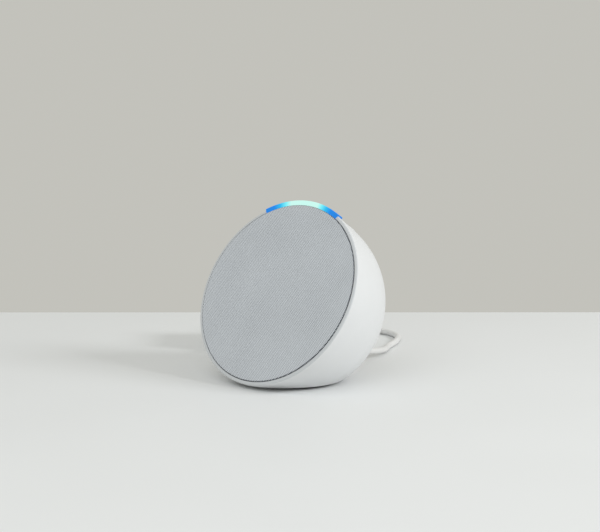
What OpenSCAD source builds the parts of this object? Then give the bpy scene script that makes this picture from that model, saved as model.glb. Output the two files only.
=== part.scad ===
/* [Shell] */
// Radius of the round rear of the shell
shell_r = 48.2; // [44:0.1:60]
// How much wider the front rim is than the round rear, on the radius
rim_flare = 1.3; // [0.6:0.1:2.5]
// Distance from the shell's centre forward to the face of the fabric
face_out = 13.8; // [11:0.1:17]
// How far the face leans back from upright, in degrees
face_tilt = 27; // [20:1:32]
// How much of the round rear is cut off flat at the base
base_cut = 8.8; // [4.5:0.1:12]
// Wall of the shell
wall = 2; // [1.6:0.1:2.6]
// Radius of the rounded front lip
lip_r = 1.75; // [1.2:0.05:2]
// How far the lip's crest lies behind the fabric's face
lip_back = 0.25; // [0.1:0.05:0.6]

/* [Face] */
// Thickness of the fabric
fabric_t = 0.8; // [0.5:0.1:1.1]
// Gap between the fabric's edge and the rim
fabric_gap = 0.2; // [0.1:0.05:0.4]
// Thickness of the grille plate under the fabric
grille_t = 1.6; // [1.2:0.1:2.2]
// Radius of each sound hole in the grille
grille_hole_r = 1.9; // [1:0.1:2.3]
// Distance between neighbouring sound holes
grille_pitch = 6.6; // [5.6:0.1:9]

/* [Light bar] */
// Half of the angle that the light bar covers, in degrees
bar_half = 29; // [20:1:33]
// How far the light bar stands proud of the rim
bar_proud = 0.7; // [0.2:0.1:1.2]
// Width of the light bar from front to back
bar_w = 4.5; // [4:0.1:5.4]
// Number of lamps behind the light bar
lamp_count = 6; // [4:1:8]

/* [Buttons] */
// Radius of a button cap
button_r = 4.6; // [3.5:0.1:5.4]
// Travel of a button
button_travel = 0.5; // [0.3:0.05:0.6]
// Running gap round a button cap
button_gap = 0.25; // [0.15:0.05:0.4]
// How far a button stands proud of the shell
button_proud = 0.25; // [0.1:0.05:0.5]
// Angle between neighbouring buttons, seen from the front, in degrees
button_step = 22; // [19:1:25]
// How far the buttons lie behind the shell's centre
button_back = 4; // [3:0.5:5]

/* [Driver] */
// Outer radius of the driver's mounting flange
flange_r = 30; // [29.4:0.1:32]
// Radius of the screw circle of the driver
driver_screw_r = 27.4; // [27.2:0.1:27.8]
// Outer radius of the moving cone
cone_r = 19.9; // [17:0.1:20.4]
// Radius of the voice coil's former, inside
former_r = 9; // [7:0.1:9.4]
// Radius of the magnet
magnet_r = 19.5; // [15:0.1:23]
// Thickness of the magnet
magnet_t = 6; // [4:0.5:8]
// Excursion of the cone each way
cone_travel = 1.5; // [0.5:0.1:1.7]

/* [Chamber] */
// Outer radius of the sealed chamber behind the driver
cup_r = 28.5; // [27.6:0.1:29]
// Wall of the chamber
cup_wall = 1.8; // [1.4:0.1:2.2]
// Depth of the chamber behind the baffle
cup_depth = 25.5; // [24.5:0.5:26]
// Thickness of the baffle
baffle_t = 2.5; // [2:0.1:3]

/* [Electronics] */
// Radius of the main board
board_r = 26.5; // [24:0.5:27]
// Thickness of the main board
board_t = 1.6; // [1:0.2:2]
// Height of the socket's axis above the table
socket_z = 7; // [6.8:0.1:7.6]

/* [Foot] */
// Height of the rubber foot
foot_h = 1.4; // [1:0.1:2]
// Radius of the rubber foot
foot_r = 24.5; // [20:0.5:26]

/* [Cord] */
// Diameter of the cord
cord_d = 3.5; // [3:0.1:3.5]
// Turns of the coil side by side
coil_turns_wide = 3; // [3:1:3]
// Layers of the coil
coil_layers = 4; // [4:1:4]
// Mean radius of the coil
coil_r = 20; // [20:0.5:20.5]

/* [Wall adapter] */
// Width of the adapter
adapter_w = 38; // [34:1:46]
// Length of the adapter without its blades
adapter_l = 40; // [34:1:46]
// Height of the adapter as it lies
adapter_h = 26; // [24:1:30]
// Length of the adapter's blades
blade_l = 16; // [14:1:18]

/* [Hidden] */
$fn = 96;
eps = 0.01;
// Clearance between pieces that are slid together and stay put
fit = 0.1;

// --- Shell and rim -----------------------------------------------------------------------
base_drop = shell_r - base_cut;
centre_z = base_drop + foot_h;
rim_r = shell_r + rim_flare;
rim_z = face_out - lip_back - lip_r;
// The wall runs straight from the rim and dips just inside the round rear to meet it.
flare_aim = shell_r - 0.15;
rim_far = norm([rim_r, rim_z]);
flare = acos(flare_aim / rim_far) - atan2(rim_z, rim_r);
inner_r = shell_r - wall;
floor_t = wall;
floor_z = foot_h + floor_t;
recess_r = rim_r - lip_r;

// --- Face --------------------------------------------------------------------------------
fabric_r = recess_r - fabric_gap;
fabric_edge_r = fabric_t / 2;
fabric_skirt = 2;
fabric_back = face_out - fabric_t;
grille_back = fabric_back - grille_t;
grille_r = fabric_r - fabric_t;
shoulder_z = fabric_back - fabric_skirt - fit;
shoulder_r = fabric_r - 1.2;
shoulder_t = 2.5;
skirt_h = 7.4;
skirt_r = 39;
skirt_t = 1.6;
grille_field_r = 35;

// --- Baffle and chamber ------------------------------------------------------------------
baffle_front = grille_back - skirt_h;
baffle_back = baffle_front - baffle_t;
baffle_r = inner_r - 1.6;
boss_r = 2.9;
boss_at = baffle_r - 2.6;
boss_l = 9;
boss_angles = [45, 135, 225, 315];
boss_bore_r = 0.85;
cup_back = baffle_back - cup_depth;
cup_flange_r = 33;
cup_flange_t = 1.8;
cup_screw_at = 31;
cup_in = cup_r - cup_wall;
screw_r = 1;
screw_head_r = 1.8;
screw_head_t = 1.2;
// Material left under a blind hole, and air left past a screw's end
blind = 0.3;

// --- Driver ------------------------------------------------------------------------------
gasket_t = 0.6;
flange_t = 1.2;
flange_in = cone_r + 2.7;
flange_back = baffle_front + gasket_t;
flange_front = flange_back + flange_t;
basket_drop = 9.6;
basket_t = 1.4;
basket_top = flange_in + 0.8;
basket_low = magnet_r - 1;
basket_foot = flange_back - basket_drop;
basket_foot_t = 1.2;
basket_foot_in = former_r + 4;
mouth_r = basket_top + basket_t + fit;
spider_z = flange_back - 6.8;
spider_t = 0.5;
spider_ledge_t = 0.8;
spider_ledge_in = former_r + 8.2;
plate_top = basket_foot - basket_foot_t;
plate_t = 3;
plate_r = magnet_r + 0.5;
gap_in = former_r - 0.25;
former_t = 0.2;
winding_t = 0.5;
winding_l = plate_t + 2 * cone_travel;
winding_low = plate_top - plate_t - cone_travel;
gap_out = former_r + former_t + winding_t + 0.3;
magnet_top = plate_top - plate_t;
magnet_back = magnet_top - magnet_t;
magnet_in = gap_out + 1;
yoke_t = 3;
yoke_r = magnet_r - 0.5;
cone_t = 0.55;
neck_z = spider_z + spider_t + 0.3;
neck_r = former_r + former_t + 0.05;
roll_t = 0.4;
roll_gap = 0.1;
roll_r = (flange_in - cone_r + roll_gap) / 2 + 0.25;
roll_at = cone_r + roll_gap + roll_r - roll_t;
cap_r = 12;
cap_t = 0.3;
cap_edge_r = neck_r + cone_t;
terminal_low = baffle_back - 3;

// --- Light bar ---------------------------------------------------------------------------
bar_gap = 0.15;
notch_half = bar_half + 0.2;
bar_front = face_out + 0.1;
bar_back = bar_front - bar_w;
bar_in = fabric_r + 0.1;
bar_out = rim_r + bar_proud;
bar_edge = 0.6;
guide_t = 1.4;
guide_in = skirt_r + 5.6;
holder_half = bar_half + 4;
holder_in = guide_in - 3;
holder_t = 1.5;
strip_t = 0.3;
lamp_depth = 0.9;
lamp_w = 2.4;
lamp_h = 1.2;

// --- Buttons -----------------------------------------------------------------------------
button_lean = asin(button_back / shell_r);
button_flange_r = button_r + 1;
button_flange_t = 1.2;
button_flange_top = sqrt(inner_r * inner_r - button_flange_r * button_flange_r) - 0.36;
bracket_in = skirt_r - 0.5;
bracket_t = 1.5;
bracket_l = 10.5;
circuit_t = 0.3;
circuit_l = 8;
deck_r = bracket_in + bracket_t + circuit_t;
deck_gap = 0.45;
switch_base = deck_r + deck_gap;
plunger_r = 1.1;
plunger_h = 0.4;
stem_r = 1.5;
stem_l = 1;
press_gap = 0.05;
plunger_top = button_flange_top - button_flange_t - stem_l - button_travel - press_gap;
switch_h = plunger_top - plunger_h - switch_base;
switch_w = 4.4;
mic_angle = button_step / 2;
mic_hole_r = 0.6;
mic_size = [3.5, 2.7, 1];
mic_seal_r = 2.2;

// --- Electronics -------------------------------------------------------------------------
post_h = 2;
post_r = 2.2;
post_at = board_r - 4.5;
board_front = cup_back - post_h;
board_back = board_front - board_t;
chip_t = 1;
can_size = [28, 15];
can_h = 2.2;
can_t = 0.3;
can_y = 7;
pad_size = can_size - [4, 2];
pad_t = 0.5;
sink_size = [28, 17];
sink_base_t = 1.5;
fin_h = 4;
fin_t = 1.2;
fin_count = 6;
socket_w = 9;
socket_l = 10;
socket_front = 27;
socket_bore_r = 2.1;
socket_pin_r = 0.5;
socket_board_t = 0.6;
collar_r = 6;
port_r = 4.3;
wire_r = 0.6;
wire_x = 7;
wire_y = 16;
speaker_wire_x = 24.5;
speaker_wire_y = [-1.5, 1.5];

// --- Foot, cradle and base screws --------------------------------------------------------
foot_edge_r = 0.5;
cradle_w = 30;
cradle_front = -11;
cradle_back = 7;
cradle_h = 11;
base_screw_spots = [[-10, -7], [10, -7], [-10, 2], [10, 2]];
base_screw_r = 1.2;
base_screw_head_r = 2.4;
base_screw_head_t = 1;
base_screw_l = 5.4;

// --- Cord: points chosen along its way, [x, y, z] ----------------------------------------
plug_r = 3.8;
plug_back = 48;
barrel_r = 2;
barrel_tip = 18.5;
relief_path = [[0, 48, 7], [0, 52, 6.9], [0, 56, 6.5], [0, 60, 5.9]];
relief_tip_r = 2.1;
lead_path = [
    [0, 60, 5.9], [0, 64, 5.2], [-1, 72, 4], [-3, 80, 3], [-6, 88, 2.2], [-11, 97, 1.8],
    [-15, 108, 1.8], [-20, 118, 1.8], [-26, 126, 1.8], [-34, 131.4, 1.8], [-43, 133.4, 1.8],
    [-55, 133, 2], [-66, 131.6, 2.3]
];
coil_at = [-66, 108];
coil_lift = 0.5;
coil_step = cord_d + 0.1;
tail_path = [
    [-82.7, 124.7, 13.1], [-91, 117, 12.6], [-99.5, 109.5, 12], [-107, 101.5, 11.9], [-112, 93.5, 12.4]
];
cord_sides = 8;
ring_steps = 2;
tie_angle = 250;
tie_w = 7;
tie_t = 0.5;

// --- Wall adapter ------------------------------------------------------------------------
adapter_at = [-96, 68];
adapter_turn = 41;
adapter_corner = 6;
adapter_cover_t = 3;
adapter_relief_l = 20;
blade_w = 6.3;
blade_t = 1.5;
blade_gap = 12.7;
adapter_out = [-sin(adapter_turn), cos(adapter_turn)];
tail_tip = adapter_at + adapter_relief_l * adapter_out;
tail_before = adapter_at + (adapter_relief_l + 4) * adapter_out;
tail_way = concat(
    tail_path,
    [[tail_before[0], tail_before[1], adapter_h / 2], [tail_tip[0], tail_tip[1], adapter_h / 2]]
);

// --- Frames of reference -----------------------------------------------------------------
// Local Z points out of the face, local Y up the face, from the shell's centre.
module face_frame() {
    translate([0, 0, centre_z]) rotate([90 - face_tilt, 0, 0]) children();
}

// Local Z points out through the top of the shell, where a button at this angle stands.
module button_frame(angle) {
    face_frame() rotate([0, 0, -angle]) rotate([-90 - button_lean, 0, 0]) children();
}

module adapter_frame() {
    translate([adapter_at[0], adapter_at[1], 0]) rotate([0, 0, adapter_turn]) children();
}

// --- Shared shapes -----------------------------------------------------------------------
// A rectangle of a turned section, from radius a to b and from height low to high
module band(a, b, low, high) {
    translate([a, low]) square([b - a, high - low]);
}

module ring(a, b, low, high) {
    rotate_extrude() band(a, b, low, high);
}

// A ring over an angle to each side of the top of the face
module arc_ring(half, a, b, low, high) {
    rotate([0, 0, 90 - half]) rotate_extrude(angle = 2 * half) band(a, b, low, high);
}

module round_band(a, b, low, high, r) {
    band(a + r, b - r, low, high);
    band(a, b, low + r, high - r);
    for (x = [a + r, b - r], y = [low + r, high - r]) {
        translate([x, y]) circle(r);
    }
}

// Radius of the straight flare at height z, for a wall set in by this much
function flare_r(inset, z) = (flare_aim - inset + z * sin(flare)) / cos(flare);

// Half outline of a turned body: the round rear set in by this much, the straight flare, then
// the given corners from the flare up to the axis. The flare starts just inside the round.
module turned_outline(inset, corners) {
    r = shell_r - inset;
    aim = flare_aim - inset;
    polygon(concat([[0, -r / 2], [aim * cos(flare), -aim * sin(flare)]], corners));
    intersection() {
        circle(r, $fn = 180);
        translate([0, -r - 1]) square(r + 1);
    }
}

module shell_outline() {
    crest = rim_z + lip_r;
    difference() {
        turned_outline(0, [[rim_r, rim_z], [rim_r, crest], [0, crest]]);
        difference() {
            translate([recess_r, rim_z]) square([lip_r, lip_r]);
            translate([recess_r, rim_z]) circle(lip_r);
        }
    }
}

module cavity_outline() {
    low = shoulder_z - shoulder_t;
    top = face_out + 1;
    turned_outline(wall, [
        [flare_r(wall, low), low], [shoulder_r, low], [shoulder_r, shoulder_z],
        [recess_r, shoulder_z], [recess_r, top], [0, top]
    ]);
}

// Everything above a height, as wide as the object
module above(z) {
    translate([-shell_r * 2, -shell_r * 2, z]) cube([shell_r * 4, shell_r * 4, shell_r * 4]);
}

// Four places round the face's axis, the first at angle a
module four_round(a, r) {
    for (i = [0 : 3]) {
        rotate([0, 0, a + 90 * i]) translate([r, 0, 0]) children();
    }
}

module boss_spots() {
    for (a = boss_angles) {
        rotate([0, 0, a]) translate([boss_at, 0, 0]) children();
    }
}

module screw(shaft_r, shaft_l, head_r, head_t) {
    cylinder(r = shaft_r, h = shaft_l + eps);
    translate([0, 0, -head_t]) cylinder(r = head_r, h = head_t);
}

// --- Housing -----------------------------------------------------------------------------
module housing_shell() {
    color([0.93, 0.93, 0.92]) difference() {
        intersection() {
            face_frame() rotate_extrude() shell_outline();
            above(foot_h);
        }
        difference() {
            intersection() {
                face_frame() rotate_extrude() cavity_outline();
                above(floor_z);
            }
            shell_bosses();
            port_collar();
        }
        translate([0, socket_front - 1, socket_z]) rotate([-90, 0, 0]) cylinder(r = port_r, h = shell_r);
        face_frame() {
            arc_ring(notch_half, bar_in - bar_gap, rim_r + 2, bar_back - bar_gap, face_out + 2);
            arc_ring(notch_half, guide_in, bar_in, bar_back - bar_gap, shoulder_z + 1);
            boss_spots() translate([0, 0, baffle_back - boss_l + 1]) cylinder(r = boss_bore_r, h = boss_l);
        }
        for (a = [-button_step, 0, button_step]) {
            button_frame(a) translate([0, 0, inner_r - 3]) cylinder(r = button_r + button_gap, h = 9);
        }
        for (a = [-mic_angle, mic_angle]) {
            button_frame(a) translate([0, 0, inner_r - 3]) cylinder(r = mic_hole_r, h = 9);
        }
        for (p = base_screw_spots) {
            translate([p[0], p[1], 0]) {
                cylinder(r = base_screw_r + fit, h = floor_z + 1);
                cylinder(r = base_screw_head_r + fit, h = foot_h + base_screw_head_t);
            }
        }
    }
}

// Screw bosses on webs from the wall, for the baffle
module shell_bosses() {
    face_frame() boss_spots() translate([0, 0, baffle_back - boss_l]) {
        cylinder(r = boss_r, h = boss_l);
        translate([0, -boss_r / 2, 0]) cube([8, boss_r, boss_l]);
    }
}

module port_collar() {
    translate([0, socket_front, socket_z]) rotate([-90, 0, 0]) cylinder(r = collar_r, h = shell_r);
}

module rubber_foot() {
    color([0.22, 0.22, 0.23]) rotate_extrude() difference() {
        union() {
            band(0, foot_r - foot_edge_r, 0, foot_h);
            band(0, foot_r, foot_edge_r, foot_h);
            translate([foot_r - foot_edge_r, foot_edge_r]) circle(foot_edge_r);
        }
        band(foot_r - 4, foot_r - 3, -1, foot_edge_r - fit);
        band(-1, 0, -1, foot_h + 1);
    }
}

module base_screws() {
    color([0.3, 0.3, 0.32]) for (p = base_screw_spots) {
        translate([p[0], p[1], foot_h + base_screw_head_t]) {
            screw(base_screw_r, base_screw_l, base_screw_head_r, base_screw_head_t - fit);
        }
    }
}

// A saddle that carries the chamber and takes the base screws
module base_cradle() {
    color([0.25, 0.25, 0.26]) difference() {
        translate([-cradle_w / 2, cradle_front, floor_z]) {
            cube([cradle_w, cradle_back - cradle_front, cradle_h]);
        }
        face_frame() translate([0, 0, cup_back - fit]) cylinder(r = cup_r + fit, h = cup_depth + fit);
        for (p = base_screw_spots) {
            translate([p[0], p[1], floor_z - 1]) cylinder(r = base_screw_r, h = base_screw_l + 0.3);
        }
    }
}

// --- Front -------------------------------------------------------------------------------
module front_grille() {
    rows = ceil(grille_field_r / grille_pitch);
    color([0.2, 0.2, 0.21]) face_frame() {
        translate([0, 0, grille_back]) linear_extrude(grille_t) difference() {
            circle(grille_r, $fn = 180);
            for (i = [-rows : rows], j = [-rows - 1 : rows + 1]) {
                x = (j + (abs(i) % 2) / 2) * grille_pitch;
                y = i * grille_pitch * sqrt(3) / 2;
                if (norm([x, y]) < grille_field_r) translate([x, y]) circle(grille_hole_r, $fn = 24);
            }
        }
        ring(skirt_r - skirt_t, skirt_r, baffle_front, grille_back + eps);
    }
}

module fabric_cover() {
    color([0.62, 0.65, 0.68]) face_frame() rotate_extrude() {
        band(0, fabric_r - fabric_edge_r, fabric_back, face_out);
        band(0, fabric_r, fabric_back, face_out - fabric_edge_r);
        translate([fabric_r - fabric_edge_r, face_out - fabric_edge_r]) circle(fabric_edge_r);
        band(grille_r + fit, fabric_r, fabric_back - fabric_skirt, fabric_back + fabric_t / 2);
    }
}

// --- Light bar ---------------------------------------------------------------------------
module light_bar() {
    color([0.55, 0.9, 0.98]) face_frame() {
        rotate([0, 0, 90 - bar_half]) rotate_extrude(angle = 2 * bar_half) {
            round_band(bar_in, bar_out, bar_back, bar_front, bar_edge);
            band(guide_in, bar_in + bar_edge, bar_back, bar_back + guide_t);
        }
    }
}

module light_bar_holder() {
    color([0.12, 0.12, 0.13]) face_frame() {
        arc_ring(holder_half, holder_in, holder_in + holder_t, baffle_front, bar_back + guide_t);
    }
}

module lamp_strip() {
    r = holder_in + holder_t + 0.05;
    color([0.1, 0.35, 0.2]) face_frame() {
        arc_ring(bar_half, r, r + strip_t, bar_back - 1, bar_back + guide_t);
    }
}

module lamps() {
    r = holder_in + holder_t + strip_t + 0.15;
    color([0.95, 0.95, 0.8]) face_frame() for (i = [0 : lamp_count - 1]) {
        rotate([0, 0, bar_half * (0.8 - 1.6 * i / (lamp_count - 1))]) {
            translate([-lamp_w / 2, r, bar_back + 0.1]) cube([lamp_w, lamp_depth, lamp_h]);
        }
    }
}

// --- Top controls ------------------------------------------------------------------------
module button_bracket() {
    color([0.15, 0.15, 0.16]) face_frame() {
        arc_ring(holder_half, bracket_in, bracket_in + bracket_t, baffle_back - bracket_l, baffle_back);
    }
}

module button_circuit() {
    r = bracket_in + bracket_t + 0.05;
    color([0.1, 0.35, 0.2]) face_frame() {
        translate([0, 0, -button_back]) {
            arc_ring(holder_half - 1, r, r + circuit_t, -circuit_l / 2, circuit_l / 2);
        }
    }
}

module button_switches() {
    color([0.75, 0.75, 0.76]) for (a = [-button_step, 0, button_step]) {
        button_frame(a) {
            translate([-switch_w / 2, -switch_w / 2, switch_base]) cube([switch_w, switch_w, switch_h]);
            translate([0, 0, switch_base]) cylinder(r = plunger_r, h = switch_h + plunger_h, $fn = 32);
        }
    }
}

module microphones() {
    color([0.8, 0.75, 0.5]) for (a = [-mic_angle, mic_angle]) {
        button_frame(a) translate([-mic_size[0] / 2, -mic_size[1] / 2, switch_base]) cube(mic_size);
    }
}

module microphone_seals() {
    low = switch_base + mic_size[2] + fit;
    color([0.15, 0.15, 0.15]) for (a = [-mic_angle, mic_angle]) {
        button_frame(a) ring(mic_hole_r, mic_seal_r, low, inner_r - 0.2);
    }
}

module button(angle) {
    color([0.9, 0.9, 0.89]) button_frame(angle) {
        intersection() {
            translate([0, 0, button_flange_top - eps]) cylinder(r = button_r, h = 9);
            sphere(shell_r + button_proud, $fn = 180);
        }
        translate([0, 0, button_flange_top - button_flange_t]) {
            cylinder(r = button_flange_r, h = button_flange_t);
        }
        translate([0, 0, button_flange_top - button_flange_t - stem_l]) {
            cylinder(r = stem_r, h = stem_l + eps, $fn = 32);
        }
    }
}

module volume_down_button() {
    button(-button_step);
}

module microphone_button() {
    button(0);
}

module volume_up_button() {
    button(button_step);
}

// --- Baffle and sealed chamber -----------------------------------------------------------
module baffle() {
    room = button_travel + fit;
    color([0.18, 0.18, 0.19]) difference() {
        intersection() {
            face_frame() difference() {
                ring(mouth_r, baffle_r, baffle_back, baffle_front);
                boss_spots() cylinder(r = screw_r + fit, h = 2 * baffle_front);
                four_round(45, driver_screw_r) {
                    translate([0, 0, baffle_back + blind]) cylinder(r = screw_r, h = 2 * baffle_t);
                }
                four_round(0, cup_screw_at) cylinder(r = screw_r, h = baffle_front - 2 * blind);
            }
            above(floor_z + fit);
        }
        // Room for the flange of each button as it goes down
        for (k = [-1 : 1]) button_frame(k * button_step) {
            translate([0, 0, button_flange_top - button_flange_t - room]) {
                cylinder(r = button_flange_r + fit, h = shell_r);
            }
        }
    }
}

module baffle_screws() {
    color([0.35, 0.35, 0.37]) face_frame() boss_spots() translate([0, 0, baffle_front]) {
        mirror([0, 0, 1]) screw(boss_bore_r, baffle_t + 5, screw_head_r, screw_head_t);
    }
}

module chamber_cup() {
    color([0.16, 0.16, 0.17]) face_frame() difference() {
        union() {
            ring(0, cup_r, cup_back, cup_back + cup_wall);
            ring(cup_in, cup_r, cup_back, baffle_back);
            ring(cup_in, cup_flange_r, baffle_back - cup_flange_t, baffle_back);
            four_round(45, post_at) {
                translate([0, 0, board_front]) cylinder(r = post_r, h = post_h + eps);
            }
        }
        four_round(0, cup_screw_at) {
            translate([0, 0, baffle_back - 2 * cup_flange_t]) cylinder(r = screw_r + fit, h = 9);
        }
        four_round(45, post_at) {
            translate([0, 0, board_front - 1]) cylinder(r = screw_r, h = post_h + 2);
        }
        for (y = speaker_wire_y) {
            translate([speaker_wire_x, y, cup_back - 1]) {
                cylinder(r = wire_r + fit, h = cup_wall + 2, $fn = 32);
            }
        }
    }
}

module chamber_screws() {
    color([0.35, 0.35, 0.37]) face_frame() four_round(0, cup_screw_at) {
        translate([0, 0, baffle_back - cup_flange_t]) {
            screw(screw_r, cup_flange_t + baffle_t - 3 * blind, screw_head_r, screw_head_t);
        }
    }
}

// --- Driver ------------------------------------------------------------------------------
module driver_gasket() {
    color([0.1, 0.1, 0.1]) face_frame() difference() {
        ring(mouth_r, flange_r, baffle_front, flange_back);
        four_round(45, driver_screw_r) cylinder(r = screw_r + fit, h = 3 * baffle_front);
    }
}

module driver_frame() {
    color([0.3, 0.31, 0.33]) face_frame() difference() {
        rotate_extrude() {
            band(flange_in, flange_r, flange_back, flange_front);
            polygon([
                [basket_low, basket_foot - 0.5], [basket_low + basket_t, basket_foot - 0.5],
                [basket_top + basket_t, flange_back], [basket_top + basket_t, flange_front - 0.3],
                [basket_top, flange_front - 0.3], [basket_top, flange_back]
            ]);
            band(basket_foot_in, basket_low + basket_t, plate_top, basket_foot);
            band(spider_ledge_in, basket_low + basket_t + 0.4, spider_z - spider_ledge_t, spider_z);
        }
        four_round(45, driver_screw_r) cylinder(r = screw_r + fit, h = 3 * baffle_front);
        for (a = [15 : 90 : 285]) {
            rotate([0, 0, a]) rotate_extrude(angle = 60) {
                band(basket_low - 2, basket_top + 4, spider_z + 0.6, baffle_front - 0.6);
            }
        }
    }
}

module driver_screws() {
    color([0.35, 0.35, 0.37]) face_frame() four_round(45, driver_screw_r) {
        translate([0, 0, flange_front]) mirror([0, 0, 1]) {
            screw(screw_r, flange_t + gasket_t + baffle_t - 2 * blind, screw_head_r, screw_head_t);
        }
    }
}

module driver_terminals() {
    color([0.75, 0.6, 0.3]) face_frame() {
        translate([basket_low + 3.9, -3, terminal_low]) cube([3.1, 6, 1.2]);
    }
}

module speaker_wires() {
    color([0.7, 0.1, 0.1]) face_frame() for (y = speaker_wire_y) {
        translate([speaker_wire_x, y, board_front]) {
            cylinder(r = wire_r, h = terminal_low - board_front, $fn = 24);
        }
    }
}

module magnet() {
    color([0.25, 0.25, 0.27]) face_frame() ring(magnet_in, magnet_r, magnet_back, magnet_top);
}

module top_plate() {
    color([0.7, 0.7, 0.72]) face_frame() ring(gap_out, plate_r, magnet_top, plate_top);
}

module yoke() {
    color([0.68, 0.68, 0.7]) face_frame() {
        ring(0, yoke_r, magnet_back - yoke_t, magnet_back);
        ring(0, gap_in, magnet_back - eps, plate_top + 0.2);
    }
}

// Flexible disc in folds, which centres the voice coil
module spider() {
    low = spider_ledge_in + 0.8;
    color([0.75, 0.6, 0.35]) face_frame() rotate_extrude() {
        band(neck_r, low, spider_z, spider_z + spider_t);
        for (r = [neck_r + 2 : 2.4 : low - 1.5]) {
            band(r, r + 0.6, spider_z - 0.4, spider_z + spider_t);
        }
    }
}

module coil_former() {
    color([0.8, 0.65, 0.3]) face_frame() {
        ring(former_r, former_r + former_t, winding_low - former_t, neck_z + cone_t);
    }
}

module voice_coil() {
    r = former_r + former_t;
    color([0.75, 0.4, 0.2]) face_frame() {
        ring(r, r + winding_t, winding_low, winding_low + winding_l);
    }
}

module cone() {
    top = flange_front;
    color([0.12, 0.12, 0.13]) face_frame() rotate_extrude() polygon([
        [neck_r, neck_z], [neck_r + cone_t, neck_z], [cone_r, top - 0.5], [cone_r, top],
        [cone_r - 1.1, top], [neck_r, neck_z + cone_t]
    ]);
}

module surround() {
    color([0.08, 0.08, 0.08]) face_frame() rotate_extrude() {
        intersection() {
            difference() {
                translate([roll_at, flange_front]) circle(roll_r);
                translate([roll_at, flange_front]) circle(roll_r - roll_t);
            }
            band(0, flange_r, flange_front, flange_front + 2 * roll_r);
        }
        band(cone_r - 1.1, roll_at - roll_r + roll_t, flange_front, flange_front + roll_t);
        band(roll_at + roll_r - roll_t, flange_in + 2.2, flange_front, flange_front + roll_t);
    }
}

module dust_cap() {
    low = -sqrt(cap_r * cap_r - cap_edge_r * cap_edge_r);
    color([0.1, 0.1, 0.11]) face_frame() translate([0, 0, neck_z + 1.3 + low]) rotate_extrude() {
        intersection() {
            difference() {
                circle(cap_r);
                circle(cap_r - cap_t);
            }
            band(0, cap_edge_r, -low, cap_r + 1);
        }
    }
}

// --- Electronics -------------------------------------------------------------------------
module main_board() {
    color([0.05, 0.3, 0.15]) face_frame() difference() {
        translate([0, 0, board_back]) cylinder(r = board_r, h = board_t);
        four_round(45, post_at) {
            translate([0, 0, board_back - 1]) cylinder(r = screw_r + fit, h = board_t + 2);
        }
    }
}

module board_screws() {
    color([0.35, 0.35, 0.37]) face_frame() four_round(45, post_at) {
        translate([0, 0, board_back]) {
            screw(screw_r, board_t + post_h + 2 * blind, screw_head_r, screw_head_t);
        }
    }
}

// A box on the back of the main board, centred at x and y
module on_board(x, y, size) {
    face_frame() translate([x - size[0] / 2, y - size[1] / 2, board_back - size[2]]) cube(size);
}

module processor() {
    color([0.1, 0.1, 0.1]) on_board(0, can_y, [9, 9, chip_t]);
}

module memory_chips() {
    color([0.12, 0.12, 0.12]) for (x = [-9.5, 9.5]) {
        on_board(x, can_y, [6, 9, chip_t - 0.1]);
    }
}

module shield_can() {
    color([0.75, 0.76, 0.78]) difference() {
        on_board(0, can_y, [can_size[0], can_size[1], can_h]);
        on_board(0, can_y, [can_size[0] - 2 * can_t, can_size[1] - 2 * can_t, can_h - can_t]);
    }
}

module thermal_pad() {
    color([0.55, 0.6, 0.75]) face_frame() translate([0, can_y, board_back - can_h - pad_t]) {
        translate([-pad_size[0] / 2, -pad_size[1] / 2, 0]) cube([pad_size[0], pad_size[1], pad_t]);
    }
}

module heat_sink() {
    top = board_back - can_h - pad_t;
    step = (sink_size[0] - fin_t) / (fin_count - 1);
    color([0.6, 0.61, 0.63]) face_frame() {
        translate([-sink_size[0] / 2, can_y - sink_size[1] / 2, top - sink_base_t]) {
            cube([sink_size[0], sink_size[1], sink_base_t]);
            for (i = [0 : fin_count - 1]) {
                translate([i * step, 0, -fin_h]) cube([fin_t, sink_size[1], fin_h + eps]);
            }
        }
    }
}

module capacitors() {
    color([0.15, 0.15, 0.3]) face_frame() for (x = [-18, 18]) {
        translate([x, -7, board_back - 5.8]) cylinder(r = 3.1, h = 5.8);
    }
}

module inductors() {
    color([0.3, 0.3, 0.3]) for (x = [-8, 8]) {
        on_board(x, -8, [5, 5, 3]);
    }
}

module board_connectors() {
    color([0.9, 0.88, 0.8]) {
        on_board(0, 21.5, [10, 3, 1.6]);
        on_board(21, 2, [4, 6, 2.4]);
    }
}

// Two aerials on the sides of the chamber
module antennas() {
    color([0.8, 0.6, 0.3]) face_frame() for (a = [-20, 160]) {
        rotate([0, 0, a]) rotate_extrude(angle = 40) {
            band(cup_r + fit, cup_r + fit + 0.4, cup_back + 3, cup_back + 14);
        }
    }
}

// Flat cable from the button circuit over the chamber's edge to the main board
module button_ribbon() {
    top = bracket_in - 0.4;
    way = [
        [baffle_back - bracket_l + 1, top], [cup_back + 8, top - 1.5], [board_front, top - 7],
        [board_back - 2.5, top - 11], [board_back - 2.5, 21]
    ];
    color([0.85, 0.6, 0.2]) face_frame() rotate([90, 0, 90]) translate([0, 0, -4]) {
        linear_extrude(8) polygon(concat(
            [for (p = way) [p[1], p[0]]],
            [for (i = [len(way) - 1 : -1 : 0]) [way[i][1] - 0.4, way[i][0] + 0.4]]
        ));
    }
}

module power_board() {
    color([0.05, 0.3, 0.15]) translate([-8.5, 12, floor_z]) {
        cube([17, socket_front - 13.5, socket_board_t]);
    }
}

module power_socket() {
    low = floor_z + socket_board_t;
    color([0.1, 0.1, 0.1]) difference() {
        translate([-socket_w / 2, socket_front - socket_l, low]) {
            cube([socket_w, socket_l, 2 * (socket_z - low)]);
        }
        translate([0, socket_front - socket_l + 1, socket_z]) rotate([-90, 0, 0]) difference() {
            cylinder(r = socket_bore_r, h = socket_l);
            cylinder(r = socket_pin_r, h = socket_l - 3, $fn = 24);
        }
    }
}

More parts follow.
